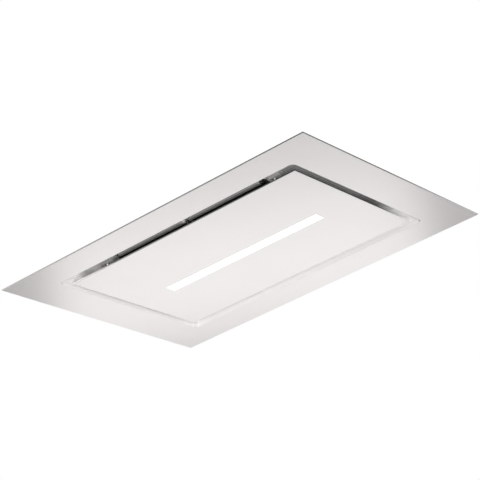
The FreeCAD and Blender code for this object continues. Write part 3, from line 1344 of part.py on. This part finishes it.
NODES = {
    "frame_plate": frame_plate,
    "recess_walls": recess_walls,
    "intake_plate": intake_plate,
    "frame_nuts": frame_nuts,
    "body_rear": body_rear,
    "body_front": lambda: mirror_y(body_rear()),
    "body_left": body_left,
    "body_right": body_right,
    "body_top": body_top,
    "hanger_brackets": hanger_brackets,
    "bracket_rivets": bracket_rivets,
    "lid_screws": lid_screws,
    "filter_frame_right": filter_frame,
    "filter_frame_left": lambda: mirror_x(filter_frame()),
    "filter_mesh_right": filter_mesh,
    "filter_mesh_left": lambda: mirror_x(filter_mesh()),
    "filter_latch_right": filter_latch,
    "filter_latch_left": lambda: mirror_x(filter_latch()),
    "blower_shelf": blower_shelf,
    "shelf_rivets": shelf_rivets,
    "inlet_ring": inlet_ring,
    "blower_scroll": blower_scroll,
    "blower_top": blower_top,
    "impeller": impeller,
    "motor_housing": motor_housing,
    "motor_winding": motor_winding,
    "motor_bearings": motor_bearings,
    "motor_mounts": motor_mounts,
    "motor_bolts": motor_bolts,
    "motor_shaft": motor_shaft,
    "motor_lead": motor_lead,
    "outlet_adaptor": outlet_adaptor,
    "outlet_spigot": outlet_spigot,
    "spigot_screws": spigot_screws,
    "damper_pin": damper_pin,
    "damper_flap_rear": lambda: damper_flap(1),
    "damper_flap_front": lambda: damper_flap(-1),
    "control_box": control_box,
    "control_cover": control_cover,
    "lead_grommet": lead_grommet,
    "control_board": control_board,
    "motor_capacitor": motor_capacitor,
    "led_driver": led_driver,
    "terminal_block": terminal_block,
    "cable_gland": cable_gland,
    "hinge_bracket_right": hinge_bracket,
    "hinge_bracket_left": lambda: mirror_x(hinge_bracket()),
    "hinge_pins": lambda: both_sides(hinge_pin()),
    "hinge_leaves": lambda: both_sides(hinge_leaf()),
    "magnet_catch_right": magnet_catch,
    "magnet_catch_left": lambda: mirror_x(magnet_catch()),
    "catch_magnets": lambda: both_sides(catch_magnet()),
    "recess_screws": recess_screws,
    "hole_plugs": hole_plugs,
    "catch_strikes": lambda: both_sides(catch_strike()),
    "panel_face": panel_face,
    "panel_tray": panel_tray,
    "led_housing": led_housing,
    "led_board": led_board,
    "led_diffuser": led_diffuser,
}


def main():
    os.makedirs("parts", exist_ok=True)
    for name, make in NODES.items():
        shape = make()
        shape.exportStep("parts/" + name + ".step")
        print(name, len(shape.Solids), round(shape.Volume / 1000, 2), "cm3", shape.isValid())


main()
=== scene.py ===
"""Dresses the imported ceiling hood: finishes, studio light and camera."""
import bpy
import json
import math
from mathutils import Matrix, Vector


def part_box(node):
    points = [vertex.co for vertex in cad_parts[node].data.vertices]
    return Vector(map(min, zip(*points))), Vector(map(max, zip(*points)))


MM = 0.001

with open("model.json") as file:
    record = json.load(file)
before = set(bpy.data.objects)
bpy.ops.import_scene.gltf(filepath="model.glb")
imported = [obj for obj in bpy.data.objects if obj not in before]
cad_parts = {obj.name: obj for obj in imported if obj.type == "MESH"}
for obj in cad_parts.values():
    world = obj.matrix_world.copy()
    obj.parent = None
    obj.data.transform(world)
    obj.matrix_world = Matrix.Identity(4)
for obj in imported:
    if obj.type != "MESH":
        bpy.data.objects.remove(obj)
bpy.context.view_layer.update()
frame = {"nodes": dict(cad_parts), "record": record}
nodes = frame["nodes"]

# ---------------------------------------------------------------- node helpers

IOR = 1.5
MASK_BLUR = 0.5 * MM


def add_node(tree, kind, **settings):
    node = tree.nodes.new(kind)
    for key, value in settings.items():
        setattr(node, key, value)
    return node


class Surface:
    """A node material with one Principled shader, built by adding nodes."""

    def __init__(self, name, colour, metallic=0.0):
        self.material = bpy.data.materials.new(name)
        self.material.use_nodes = True
        self.tree = self.material.node_tree
        self.shader = self.tree.nodes["Principled BSDF"]
        self.colour = tuple(colour) + (1.0,)
        self.set("Base Color", self.colour)
        self.set("Metallic", metallic)
        self.set("IOR", IOR)
        self.place = self.add("ShaderNodeTexCoord").outputs["Object"]

    def add(self, kind, **settings):
        return add_node(self.tree, kind, **settings)

    def link(self, source, target):
        self.tree.links.new(source, target)

    def set(self, socket, value):
        self.shader.inputs[socket].default_value = value

    def feed(self, socket, source):
        """Link a source to a socket of the shader."""
        self.link(source, self.shader.inputs[socket])

    def fed(self, socket):
        """The source that a socket of the shader is linked to."""
        return self.shader.inputs[socket].links[0].from_socket

    def toned(self, level):
        """The material's colour times a level."""
        return tuple(min(c * level, 1.0) for c in self.colour[:3]) + (1.0,)

    def stretched(self, scale):
        """Object coordinates times a scale for each axis."""
        node = self.add("ShaderNodeMapping")
        node.inputs["Scale"].default_value = scale
        self.link(self.place, node.inputs["Vector"])
        return node.outputs["Vector"]

    def texture(self, kind, inputs, vector=None, **settings):
        """Texture node over the object coordinates or a vector, with these input values."""
        node = self.add(kind, **settings)
        for socket, value in inputs.items():
            node.inputs[socket].default_value = value
        self.link(self.place if vector is None else vector, node.inputs["Vector"])
        return node

    def noise(self, scale, detail=3.0, rough=0.5):
        """Noise from 0 to 1; scale is one number or one for each axis, in cells a metre."""
        if isinstance(scale, (int, float)):
            scale = (scale, scale, scale)
        inputs = {"Scale": 1.0, "Detail": detail, "Roughness": rough}
        return self.texture("ShaderNodeTexNoise", inputs, self.stretched(scale)).outputs["Fac"]

    def spread(self, source, low, high, from_low=0.3, from_high=0.7):
        """The value spread from one range, by default that of noise, onto another."""
        node = self.add("ShaderNodeMapRange")
        node.inputs["From Min"].default_value = from_low
        node.inputs["From Max"].default_value = from_high
        node.inputs["To Min"].default_value = low
        node.inputs["To Max"].default_value = high
        self.link(source, node.inputs["Value"])
        return node.outputs["Result"]

    def tint(self, source, low, high):
        """Base colour between low and high times the material's own."""
        node = self.add("ShaderNodeMix", data_type="RGBA")
        node.inputs["A"].default_value = self.toned(low)
        node.inputs["B"].default_value = self.toned(high)
        self.link(source, node.inputs["Factor"])
        self.feed("Base Color", node.outputs["Result"])

    def rough(self, source, low, high):
        self.feed("Roughness", self.spread(source, low, high))

    def bump(self, source, distance):
        node = self.add("ShaderNodeBump")
        node.inputs["Strength"].default_value = 1.0
        node.inputs["Distance"].default_value = distance
        self.link(source, node.inputs["Height"])
        self.feed("Normal", node.outputs["Normal"])

    def math(self, operation, *values):
        """Result of a math node; each value is a socket or a number."""
        node = self.add("ShaderNodeMath", operation=operation)
        for socket, value in zip(node.inputs, values):
            if isinstance(value, (int, float)):
                socket.default_value = value
            else:
                self.link(value, socket)
        return node.outputs[0]

    def times(self, first, second):
        return self.math("MULTIPLY", first, second)

    def coordinate(self, axis):
        """Object coordinate along an axis, 0 for X to 2 for Z, in metres."""
        split = self.add("ShaderNodeSeparateXYZ")
        self.link(self.place, split.inputs[0])
        return split.outputs[axis]

    def past(self, axis, start):
        """1 beyond a distance from the object's middle plane across an axis, and 0 nearer."""
        away = self.math("ABSOLUTE", self.coordinate(axis))
        return self.spread(away, 0.0, 1.0, start - MASK_BLUR, start + MASK_BLUR)

    def shade(self, mask, level):
        """Base colour multiplied by a level, a number or a socket, where the mask is 1."""
        node = self.add("ShaderNodeMix", data_type="RGBA", blend_type="MULTIPLY")
        if isinstance(level, (int, float)):
            node.inputs["B"].default_value = (level, level, level, 1.0)
        else:
            self.link(level, node.inputs["B"])
        self.link(self.fed("Base Color"), node.inputs["A"])
        self.link(mask, node.inputs["Factor"])
        self.feed("Base Color", node.outputs["Result"])


# ---------------------------------------------------------------- brushed steel

STREAK_STRETCH = 90          # times longer than wide
STREAK_SHARE = 0.7           # of the streaks in the tone; the clouds have the rest
CLOUD_SHARE = 0.3
CLOUD_SCALE = 5.0
BRUSHED_TONES = (0.975, 1.02)
BRUSHED_RELIEF = 0.004 * MM

# Folded sheets: upright edges, and the lip that is turned up around the frame's opening; both get
# painted light and shade
EDGE_START = 0.6 * MM        # above the face and inside the outline
EDGE_ROUGHNESS = 0.15
LIT_START = 20.0 * MM        # where the painted light on the edges is full, from the -X end and the +Y side
LIP_METALLIC = 0.0
LIP_ROUGHNESS = 0.6
# Painted light and shade on the lip: lighter near this centre and darker far from it, with more
# painted shade on the long sides and, darker still, at the corners of the opening
LIP_SHADE_CENTRE = (-0.2, 0.12, 0.0)
LIP_SHADE_REACH = (0.1, 0.53)      # from that centre, in metres
LONG_LIP_START = 245.0 * MM
LONG_LIP_SHADE_LEVEL = 0.92
LIP_CORNER_START = (358.5 * MM, 247.5 * MM)
LIP_CORNER_SHADE_LEVEL = 0.82

# Bands of painted shade on the filter bars, in the gap between the two filters, near their outer
# ends and along their inner side: axis, middle and half width
BAR_SHADE_BANDS = ((0, -221.0 * MM, 2.0 * MM), (0, 1.2 * MM, 5.4 * MM), (0, 232.5 * MM, 5.0 * MM),
             (1, -188.2 * MM, 1.4 * MM))
BAR_SHADE_BLUR = 0.6 * MM
BAR_SHADE_LEVEL = 0.06

# Painted shade on the recess ceiling: stripes for its ribs, and a level that gets darker towards
# its +Y side; the margins without it, lighter, are measured from its +Y side and its -X end
RIB_PITCH = 6.5 * MM
RIB_SHADE_LEVEL = 0.60
RIBBED_SHADE_LEVELS = (0.78, 0.42)
RIBBED_SHADE_REACH = (50.0 * MM, 160.0 * MM)
SIDE_MARGIN = (50.0 * MM, 95.0 * MM)
END_MARGIN = (4.0 * MM, 44.0 * MM)
MARGIN_METALLIC = 0.0

# Part of the recess walls with painted shade, darker towards the +X end, measured from that end
RECESS_SHADE_END = (70.0 * MM, 15.0 * MM)
RECESS_SHADE_LEVEL = 0.62


def brushed_surface(name, colour, roughness, swing=0.05, grain_axis=0, grain=2400.0,
                    metallic=1.0):
    """Brushed steel: fine streaks along one axis, and soft clouds left by the polishing."""
    surface = Surface(name, colour, metallic)
    scale = [grain, grain, grain]
    scale[grain_axis] = grain / STREAK_STRETCH
    streaks = surface.noise(tuple(scale), detail=4.0, rough=0.7)
    clouds = surface.times(surface.noise(CLOUD_SCALE, detail=2.0), CLOUD_SHARE)
    tone = surface.math("MULTIPLY_ADD", streaks, STREAK_SHARE, clouds)
    surface.rough(streaks, roughness - swing, roughness + swing)
    surface.tint(surface.spread(tone, 0.0, 1.0, from_low=0.35, from_high=0.65), *BRUSHED_TONES)
    surface.bump(streaks, BRUSHED_RELIEF)
    return surface


def folded_steel_painted_shade(node, name, colour, edge_shade_levels, lip_shade_levels, lit_reach, lit_level,
                 roughness=0.32, metallic=0.9):
    """Sheet with a satin face, smoother upright edges with painted shade, and a dull lip where it
    has one, with painted light and shade.

    The painted shade levels of the edges are for the -X end and the +X end, the painted levels of
    the lip for near its centre and far.
    The edges turn to the painted light level within the lit reach from the -X end and from the +Y
    side.
    """
    surface = brushed_surface(name, colour, roughness, metallic=metallic)
    low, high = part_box(node)

    raised = surface.past(2, low[2] + EDGE_START)
    outside = surface.math("MAXIMUM", surface.past(0, high[0] - EDGE_START),
                           surface.past(1, high[1] - EDGE_START))
    edge = surface.times(raised, outside)
    lip = surface.math("SUBTRACT", raised, edge)
    # Where the upright edges get painted light, from the -X end and the +Y side
    lit = surface.math("MAXIMUM",
                       surface.spread(surface.coordinate(0), 1.0, 0.0,
                                      low[0] + LIT_START, low[0] + lit_reach),
                       surface.spread(surface.coordinate(1), 0.0, 1.0,
                                      high[1] - lit_reach, high[1] - LIT_START))

    dull = surface.math("ADD", lip, surface.times(edge, lit))
    surface.feed("Metallic", surface.spread(dull, metallic, LIP_METALLIC, 0.0, 1.0))
    smoother = surface.times(edge, EDGE_ROUGHNESS - roughness)
    duller = surface.times(lip, LIP_ROUGHNESS - roughness)
    satin = surface.math("ADD", surface.fed("Roughness"), smoother)
    surface.feed("Roughness", surface.math("ADD", satin, duller))

    # Painted light and shade on the lip, by distance from its centre; then painted shade on its
    # long sides and at the corners
    reach = surface.add("ShaderNodeVectorMath", operation="DISTANCE")
    surface.link(surface.place, reach.inputs[0])
    reach.inputs[1].default_value = LIP_SHADE_CENTRE
    surface.shade(lip, surface.spread(reach.outputs["Value"], *lip_shade_levels, *LIP_SHADE_REACH))
    surface.shade(surface.times(lip, surface.past(1, LONG_LIP_START)), LONG_LIP_SHADE_LEVEL)
    shaded_corner = surface.times(surface.past(0, LIP_CORNER_START[0]),
                           surface.past(1, LIP_CORNER_START[1]))
    surface.shade(surface.times(lip, shaded_corner), LIP_CORNER_SHADE_LEVEL)
    # Painted shade on the upright edges, darker towards the +X end, and painted light within the
    # lit reach
    level = surface.spread(surface.coordinate(0), *edge_shade_levels, low[0], high[0])
    surface.shade(edge, surface.math("MAXIMUM", level, surface.times(lit, lit_level)))
    return surface.material


def filter_bar_painted_shade(name, colour, roughness):
    """Matt aluminium channel with bands of painted shade between the filters, near their outer
    ends and along their inner side.
    """
    surface = brushed_surface(name, colour, roughness, grain=1600.0, metallic=0.6)
    for axis, middle, half in BAR_SHADE_BANDS:
        away = surface.math("ABSOLUTE", surface.math("SUBTRACT", surface.coordinate(axis), middle))
        shade_band = surface.spread(away, 1.0, 0.0, half - BAR_SHADE_BLUR, half + BAR_SHADE_BLUR)
        surface.shade(shade_band, BAR_SHADE_LEVEL)
    return surface.material


def ribbed_steel_painted_shade(node, name, colour, roughness, metallic):
    """Sheet with painted shade: stripes across its length for fine ribs and a level darker towards
    +Y; smooth and lighter along its +Y side and -X end.
    """
    surface = brushed_surface(name, colour, roughness, swing=0.03, metallic=metallic)
    low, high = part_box(node)
    turn = surface.times(surface.coordinate(0), 2 * math.pi / RIB_PITCH)
    rib_shade_wave = surface.spread(surface.math("SINE", turn), 0.0, 1.0, -1.0, 1.0)
    side = surface.spread(surface.coordinate(1), 1.0, 0.0,
                          high[1] - SIDE_MARGIN[1], high[1] - SIDE_MARGIN[0])
    end = surface.spread(surface.coordinate(0), 0.0, 1.0,
                         low[0] + END_MARGIN[0], low[0] + END_MARGIN[1])
    ribbed_shade_area = surface.times(side, end)
    # Painted shade: stripes for the ribs, then a level that gets darker towards the +Y side
    surface.shade(surface.times(rib_shade_wave, ribbed_shade_area), RIB_SHADE_LEVEL)
    surface.shade(ribbed_shade_area, surface.spread(surface.coordinate(1), *RIBBED_SHADE_LEVELS, *RIBBED_SHADE_REACH))
    surface.feed("Metallic", surface.spread(ribbed_shade_area, MARGIN_METALLIC, metallic, 0.0, 1.0))
    return surface.material


def recess_sheet_painted_shade(node, name, colour, roughness):
    """Dull sheet with an upright grain, and painted shade towards its +X end."""
    surface = brushed_surface(name, colour, roughness, grain_axis=2, metallic=0.0)
    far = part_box(node)[1][0]
    end = surface.spread(surface.coordinate(0), 0.0, 1.0, far - RECESS_SHADE_END[0], far - RECESS_SHADE_END[1])
    surface.shade(end, RECESS_SHADE_LEVEL)
    return surface.material


# ---------------------------------------------------------------- other finishes


def textured(surface, gloss_scale, gloss, tone_scale, tone, relief, relief_scale=None, detail=3.0):
    """Noise in roughness, tone and height; the height follows the roughness, or its own scale."""
    fine = surface.noise(gloss_scale, detail=detail)
    surface.rough(fine, *gloss)
    surface.tint(surface.noise(tone_scale), *tone)
    surface.bump(surface.noise(relief_scale) if relief_scale else fine, relief)
    return surface.material


def galvanised(name, colour, spangle=70.0):
    """Zinc-coated sheet: dull crystals that differ a little in tone and gloss."""
    surface = Surface(name, colour, metallic=0.85)
    cells = surface.texture("ShaderNodeTexVoronoi", {"Scale": spangle})
    random = surface.add("ShaderNodeSeparateColor")
    surface.link(cells.outputs["Color"], random.inputs["Color"])
    surface.tint(random.outputs["Red"], low=0.90, high=1.06)
    surface.feed("Roughness", surface.spread(random.outputs["Green"], low=0.36, high=0.52,
                                             from_low=0.0, from_high=1.0))
    surface.bump(surface.noise(scale=900.0), distance=0.01 * MM)
    return surface.material


def plated(name, colour, roughness, metallic=1.0):
    """Turned or plated metal with faint fine marks."""
    return textured(Surface(name, colour, metallic), gloss_scale=(1500.0, 1500.0, 400.0),
                    gloss=(roughness - 0.06, roughness + 0.08), tone_scale=60.0,
                    tone=(0.94, 1.04), relief=0.004 * MM)


def moulded(name, colour, roughness):
    """Moulded plastic with a fine spark-eroded grain."""
    return textured(Surface(name, colour), gloss_scale=1400.0, detail=2.0,
                    gloss=(roughness - 0.05, roughness + 0.08), tone_scale=30.0,
                    tone=(0.93, 1.05), relief=0.02 * MM)


def rubber(name, colour):
    return textured(Surface(name, colour), gloss_scale=700.0, gloss=(0.75, 0.92),
                    tone_scale=90.0, tone=(0.85, 1.15), relief=0.03 * MM, relief_scale=2500.0)


def cast(name, colour):
    """Painted casting with a slight orange peel."""
    return textured(Surface(name, colour, metallic=0.15), gloss_scale=350.0, gloss=(0.42, 0.60),
                    tone_scale=40.0, tone=(0.90, 1.08), relief=0.08 * MM, relief_scale=650.0)


def wound(name, colour):
    """Stack of laminations with lacquered wire."""
    surface = Surface(name, colour, metallic=0.8)
    inputs = {"Scale": 500.0, "Distortion": 1.5}
    layers = surface.texture("ShaderNodeTexWave", inputs, bands_direction="Z").outputs["Fac"]
    surface.tint(layers, low=0.55, high=1.1)
    surface.rough(surface.noise(scale=400.0), low=0.28, high=0.45)
    surface.bump(layers, distance=0.15 * MM)
    return surface.material


def circuit(name, colour, track_colour):
    """Solder mask over copper tracks."""
    surface = Surface(name, colour)
    inputs = {"Scale": 90.0, "Mortar Size": 0.03, "Color1": surface.colour,
              "Color2": surface.toned(0.8), "Mortar": tuple(track_colour) + (1.0,)}
    tracks = surface.texture("ShaderNodeTexBrick", inputs)
    surface.feed("Base Color", tracks.outputs["Color"])
    surface.rough(surface.noise(scale=300.0), low=0.22, high=0.34)
    surface.bump(tracks.outputs["Fac"], distance=0.03 * MM)
    return surface.material


def opal(name, colour):
    """Lit opal plastic, even along its whole length."""
    surface = Surface(name, colour)
    surface.rough(surface.noise(scale=500.0), low=0.35, high=0.5)
    surface.set("Emission Color", surface.colour)
    surface.set("Emission Strength", 1.0)
    return surface.material


FINISHES = {
    # The frame and the panel get painted shade on their upright edges and painted light and shade
    # on their lips
    "brushed_frame": folded_steel_painted_shade("frame_plate", "brushed_frame", (0.89, 0.86, 0.853),
                                  edge_shade_levels=(0.45, 0.02), lip_shade_levels=(1.10, 0.80),
                                  lit_reach=400.0 * MM, lit_level=0.45),
    "brushed_panel": folded_steel_painted_shade("panel_face", "brushed_panel", (0.89, 0.862, 0.855),
                                  edge_shade_levels=(1.0, 0.12), lip_shade_levels=(0.80, 0.65),
                                  lit_reach=150.0 * MM, lit_level=1.0),
    # Recess walls with painted shade towards their +X end
    "recess_steel": recess_sheet_painted_shade("recess_walls", "recess_steel", (0.92, 0.905, 0.895), 0.50),
    # Intake plate with painted shade for its ribs and towards its +Y side
    "intake_steel": ribbed_steel_painted_shade("intake_plate", "intake_steel", (0.98, 0.97, 0.96), 0.30, 0.35),
    "galvanised_body": galvanised("galvanised_body", (0.66, 0.68, 0.69)),
    "galvanised_bracket": galvanised("galvanised_bracket", (0.60, 0.62, 0.64), 110.0),
    "zinc_fastener": plated("zinc_fastener", (0.76, 0.76, 0.74), 0.28),
    # Filter bars with bands of painted shade
    "filter_aluminium": filter_bar_painted_shade("filter_aluminium", (0.47, 0.46, 0.45), 0.38),
    "filter_mesh": plated("filter_mesh", (0.045, 0.045, 0.045), 0.50),
    "black_plastic": moulded("black_plastic", (0.022, 0.022, 0.024), 0.45),
    "grey_plastic": moulded("grey_plastic", (0.32, 0.313, 0.306), 0.45),
    "white_plastic": moulded("white_plastic", (0.78, 0.78, 0.76), 0.30),
    "blower_steel": galvanised("blower_steel", (0.60, 0.62, 0.64)),
    "impeller_plastic": moulded("impeller_plastic", (0.08, 0.08, 0.085), 0.40),
    "motor_alloy": cast("motor_alloy", (0.16, 0.17, 0.18)),
    "winding_copper": wound("winding_copper", (0.62, 0.30, 0.14)),
    "bearing_steel": plated("bearing_steel", (0.72, 0.73, 0.74), 0.18),
    "mount_rubber": rubber("mount_rubber", (0.025, 0.025, 0.025)),
    "circuit_green": circuit("circuit_green", (0.03, 0.16, 0.08), (0.10, 0.34, 0.18)),
    "capacitor_case": moulded("capacitor_case", (0.76, 0.76, 0.74), 0.28),
    "magnet_nickel": plated("magnet_nickel", (0.62, 0.62, 0.60), 0.22),
    "strike_zinc": plated("strike_zinc", (0.88, 0.88, 0.87), 0.35, metallic=0.1),
    "led_extrusion": brushed_surface("led_extrusion", (0.74, 0.75, 0.76), 0.34).material,
    "led_board_white": moulded("led_board_white", (0.82, 0.82, 0.81), 0.32),
    "light_opal": opal("light_opal", (1.0, 1.0, 0.99)),
}


def dress_nodes():
    """Every CAD node gets the finish of its slot."""
    for part in frame["record"]["subparts"]:
        mesh = nodes[part["node"]].data
        mesh.materials.clear()
        mesh.materials.append(FINISHES[part["material_slot"]])


# ---------------------------------------------------------------- studio

FLOOR_DEPTH = 5.4
FLOOR_SIZE = 80.0
FLOOR_COLOUR = (0.80, 0.80, 0.80, 1.0)
FLOOR_ROUGHNESS = 0.9
CEILING_SIZE = 24.0
CEILING_LIFT = 3.2 * MM      # above the frame's face
CUTOUT_GAP = 20 * MM         # around the body
DOME_COLOUR = (1.0, 1.0, 1.0, 1.0)
DOME_STRENGTH = 0.48
BACKDROP_STRENGTH = 1.0

# Lights that face the hood: name, place, width and height, brightness
SOFTBOXES = (("under_softbox", (-0.65, 0.885, -0.53), (1.18, 0.5), 0.72),
             ("front_softbox", (2.5, -3.2, -2.08), (1.6, 1.6), 30.5),
             ("top_softbox", (1.5, -2.0, 3.2), (2.5, 2.5), 1.6))

# Camera found from the vanishing points of the frame's edges in the photograph
CAMERA_PLACE = Vector((2.3845, -3.2870, -1.8592))
CAMERA_RIGHT = Vector((0.7587, 0.6344, -0.1479))
CAMERA_UP = Vector((0.3767, -0.2420, 0.8942))
CAMERA_LENS = 137.92
CAMERA_SENSOR = 36.0
CAMERA_RANGE = 200.0


def ring_corners(half_x, half_y, height):
    return [(-half_x, -half_y, height), (half_x, -half_y, height),
            (half_x, half_y, height), (-half_x, half_y, height)]


def stage_sheet(name, size, height, material, hole=None):
    """Level square sheet, with a rectangular hole of the two half lengths if they are given."""
    mesh = bpy.data.meshes.new(name)
    corners = ring_corners(size / 2, size / 2, height)
    faces = [(0, 1, 2, 3)]
    if hole:
        corners += ring_corners(*hole, height)
        faces = [(i, (i + 1) % 4, 4 + (i + 1) % 4, 4 + i) for i in range(4)]
    mesh.from_pydata(corners, [], faces)
    mesh.materials.append(material)
    piece = bpy.data.objects.new(name, mesh)
    bpy.context.scene.collection.objects.link(piece)


def backdrop_rays(tree):
    """1 for the rays that show the background: from the camera, off metal and through glass."""
    path = add_node(tree, "ShaderNodeLightPath")
    total = path.outputs["Is Camera Ray"]
    for kind in ("Is Glossy Ray", "Is Transmission Ray"):
        larger = add_node(tree, "ShaderNodeMath", operation="MAXIMUM")
        tree.links.new(total, larger.inputs[0])
        tree.links.new(path.outputs[kind], larger.inputs[1])
        total = larger.outputs[0]
    return total


def mixed(tree, share, first, second):
    """Mix of two shader nodes, the second one where the share is 1."""
    mix = add_node(tree, "ShaderNodeMixShader")
    for source, target in zip((share, first.outputs[0], second.outputs[0]), mix.inputs):
        tree.links.new(source, target)
    return mix.outputs[0]


def pale_floor():
    """Plain pale floor far below the hood."""
    material = bpy.data.materials.new("floor")
    material.use_nodes = True
    shader = material.node_tree.nodes["Principled BSDF"]
    shader.inputs["Base Color"].default_value = FLOOR_COLOUR
    shader.inputs["Roughness"].default_value = FLOOR_ROUGHNESS
    stage_sheet("floor", FLOOR_SIZE, -FLOOR_DEPTH, material)


def white_ceiling():
    """The ceiling that the frame lies against: white from below, and not there from above."""
    material = bpy.data.materials.new("ceiling")
    material.use_nodes = True
    tree = material.node_tree
    tree.nodes.remove(tree.nodes["Principled BSDF"])
    side = add_node(tree, "ShaderNodeNewGeometry")
    below = add_node(tree, "ShaderNodeMath", operation="MULTIPLY")
    tree.links.new(backdrop_rays(tree), below.inputs[0])
    tree.links.new(side.outputs["Backfacing"], below.inputs[1])
    mix = mixed(tree, below.outputs[0], add_node(tree, "ShaderNodeBsdfTransparent"),
                add_node(tree, "ShaderNodeEmission"))
    tree.links.new(mix, tree.nodes["Material Output"].inputs["Surface"])
    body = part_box("body_rear")[1]
    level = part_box("frame_plate")[0][2] + CEILING_LIFT
    stage_sheet("ceiling", CEILING_SIZE, level, material,
                hole=(body[0] + CUTOUT_GAP, body[1] + CUTOUT_GAP))


def studio_world():
    """White for the camera, a soft grey dome for everything else."""
    world = bpy.data.worlds.new("studio")
    world.use_nodes = True
    bpy.context.scene.world = world
    tree = world.node_tree
    dome = tree.nodes["Background"]
    dome.inputs["Color"].default_value = DOME_COLOUR
    dome.inputs["Strength"].default_value = DOME_STRENGTH
    white = add_node(tree, "ShaderNodeBackground")
    white.inputs["Strength"].default_value = BACKDROP_STRENGTH
    mix = mixed(tree, backdrop_rays(tree), dome, white)
    tree.links.new(mix, tree.nodes["World Output"].inputs["Surface"])


def softbox(name, place, size, brightness):
    """Rectangular light that faces the origin, with a power that grows with its face."""
    light = bpy.data.lights.new(name, "AREA")
    light.shape = "RECTANGLE"
    light.size, light.size_y = size
    light.energy = brightness * size[0] * size[1] * math.pi
    lamp = bpy.data.objects.new(name, light)
    lamp.location = place
    lamp.rotation_mode = "QUATERNION"
    lamp.rotation_quaternion = (-Vector(place)).to_track_quat("-Z", "Y")
    lamp.visible_camera = False
    bpy.context.scene.collection.objects.link(lamp)


def camera():
    data = bpy.data.cameras.new("camera")
    data.lens = CAMERA_LENS
    data.sensor_width = CAMERA_SENSOR
    data.clip_end = CAMERA_RANGE
    piece = bpy.data.objects.new("camera", data)
    back = CAMERA_RIGHT.cross(CAMERA_UP)
    turn = Matrix((CAMERA_RIGHT, CAMERA_UP, back)).transposed()
    piece.matrix_world = Matrix.Translation(CAMERA_PLACE) @ turn.to_4x4()
    bpy.context.scene.collection.objects.link(piece)
    bpy.context.scene.camera = piece


dress_nodes()
pale_floor()
white_ceiling()
studio_world()
for settings in SOFTBOXES:
    softbox(*settings)
camera()
bpy.context.scene.view_settings.view_transform = "Standard"
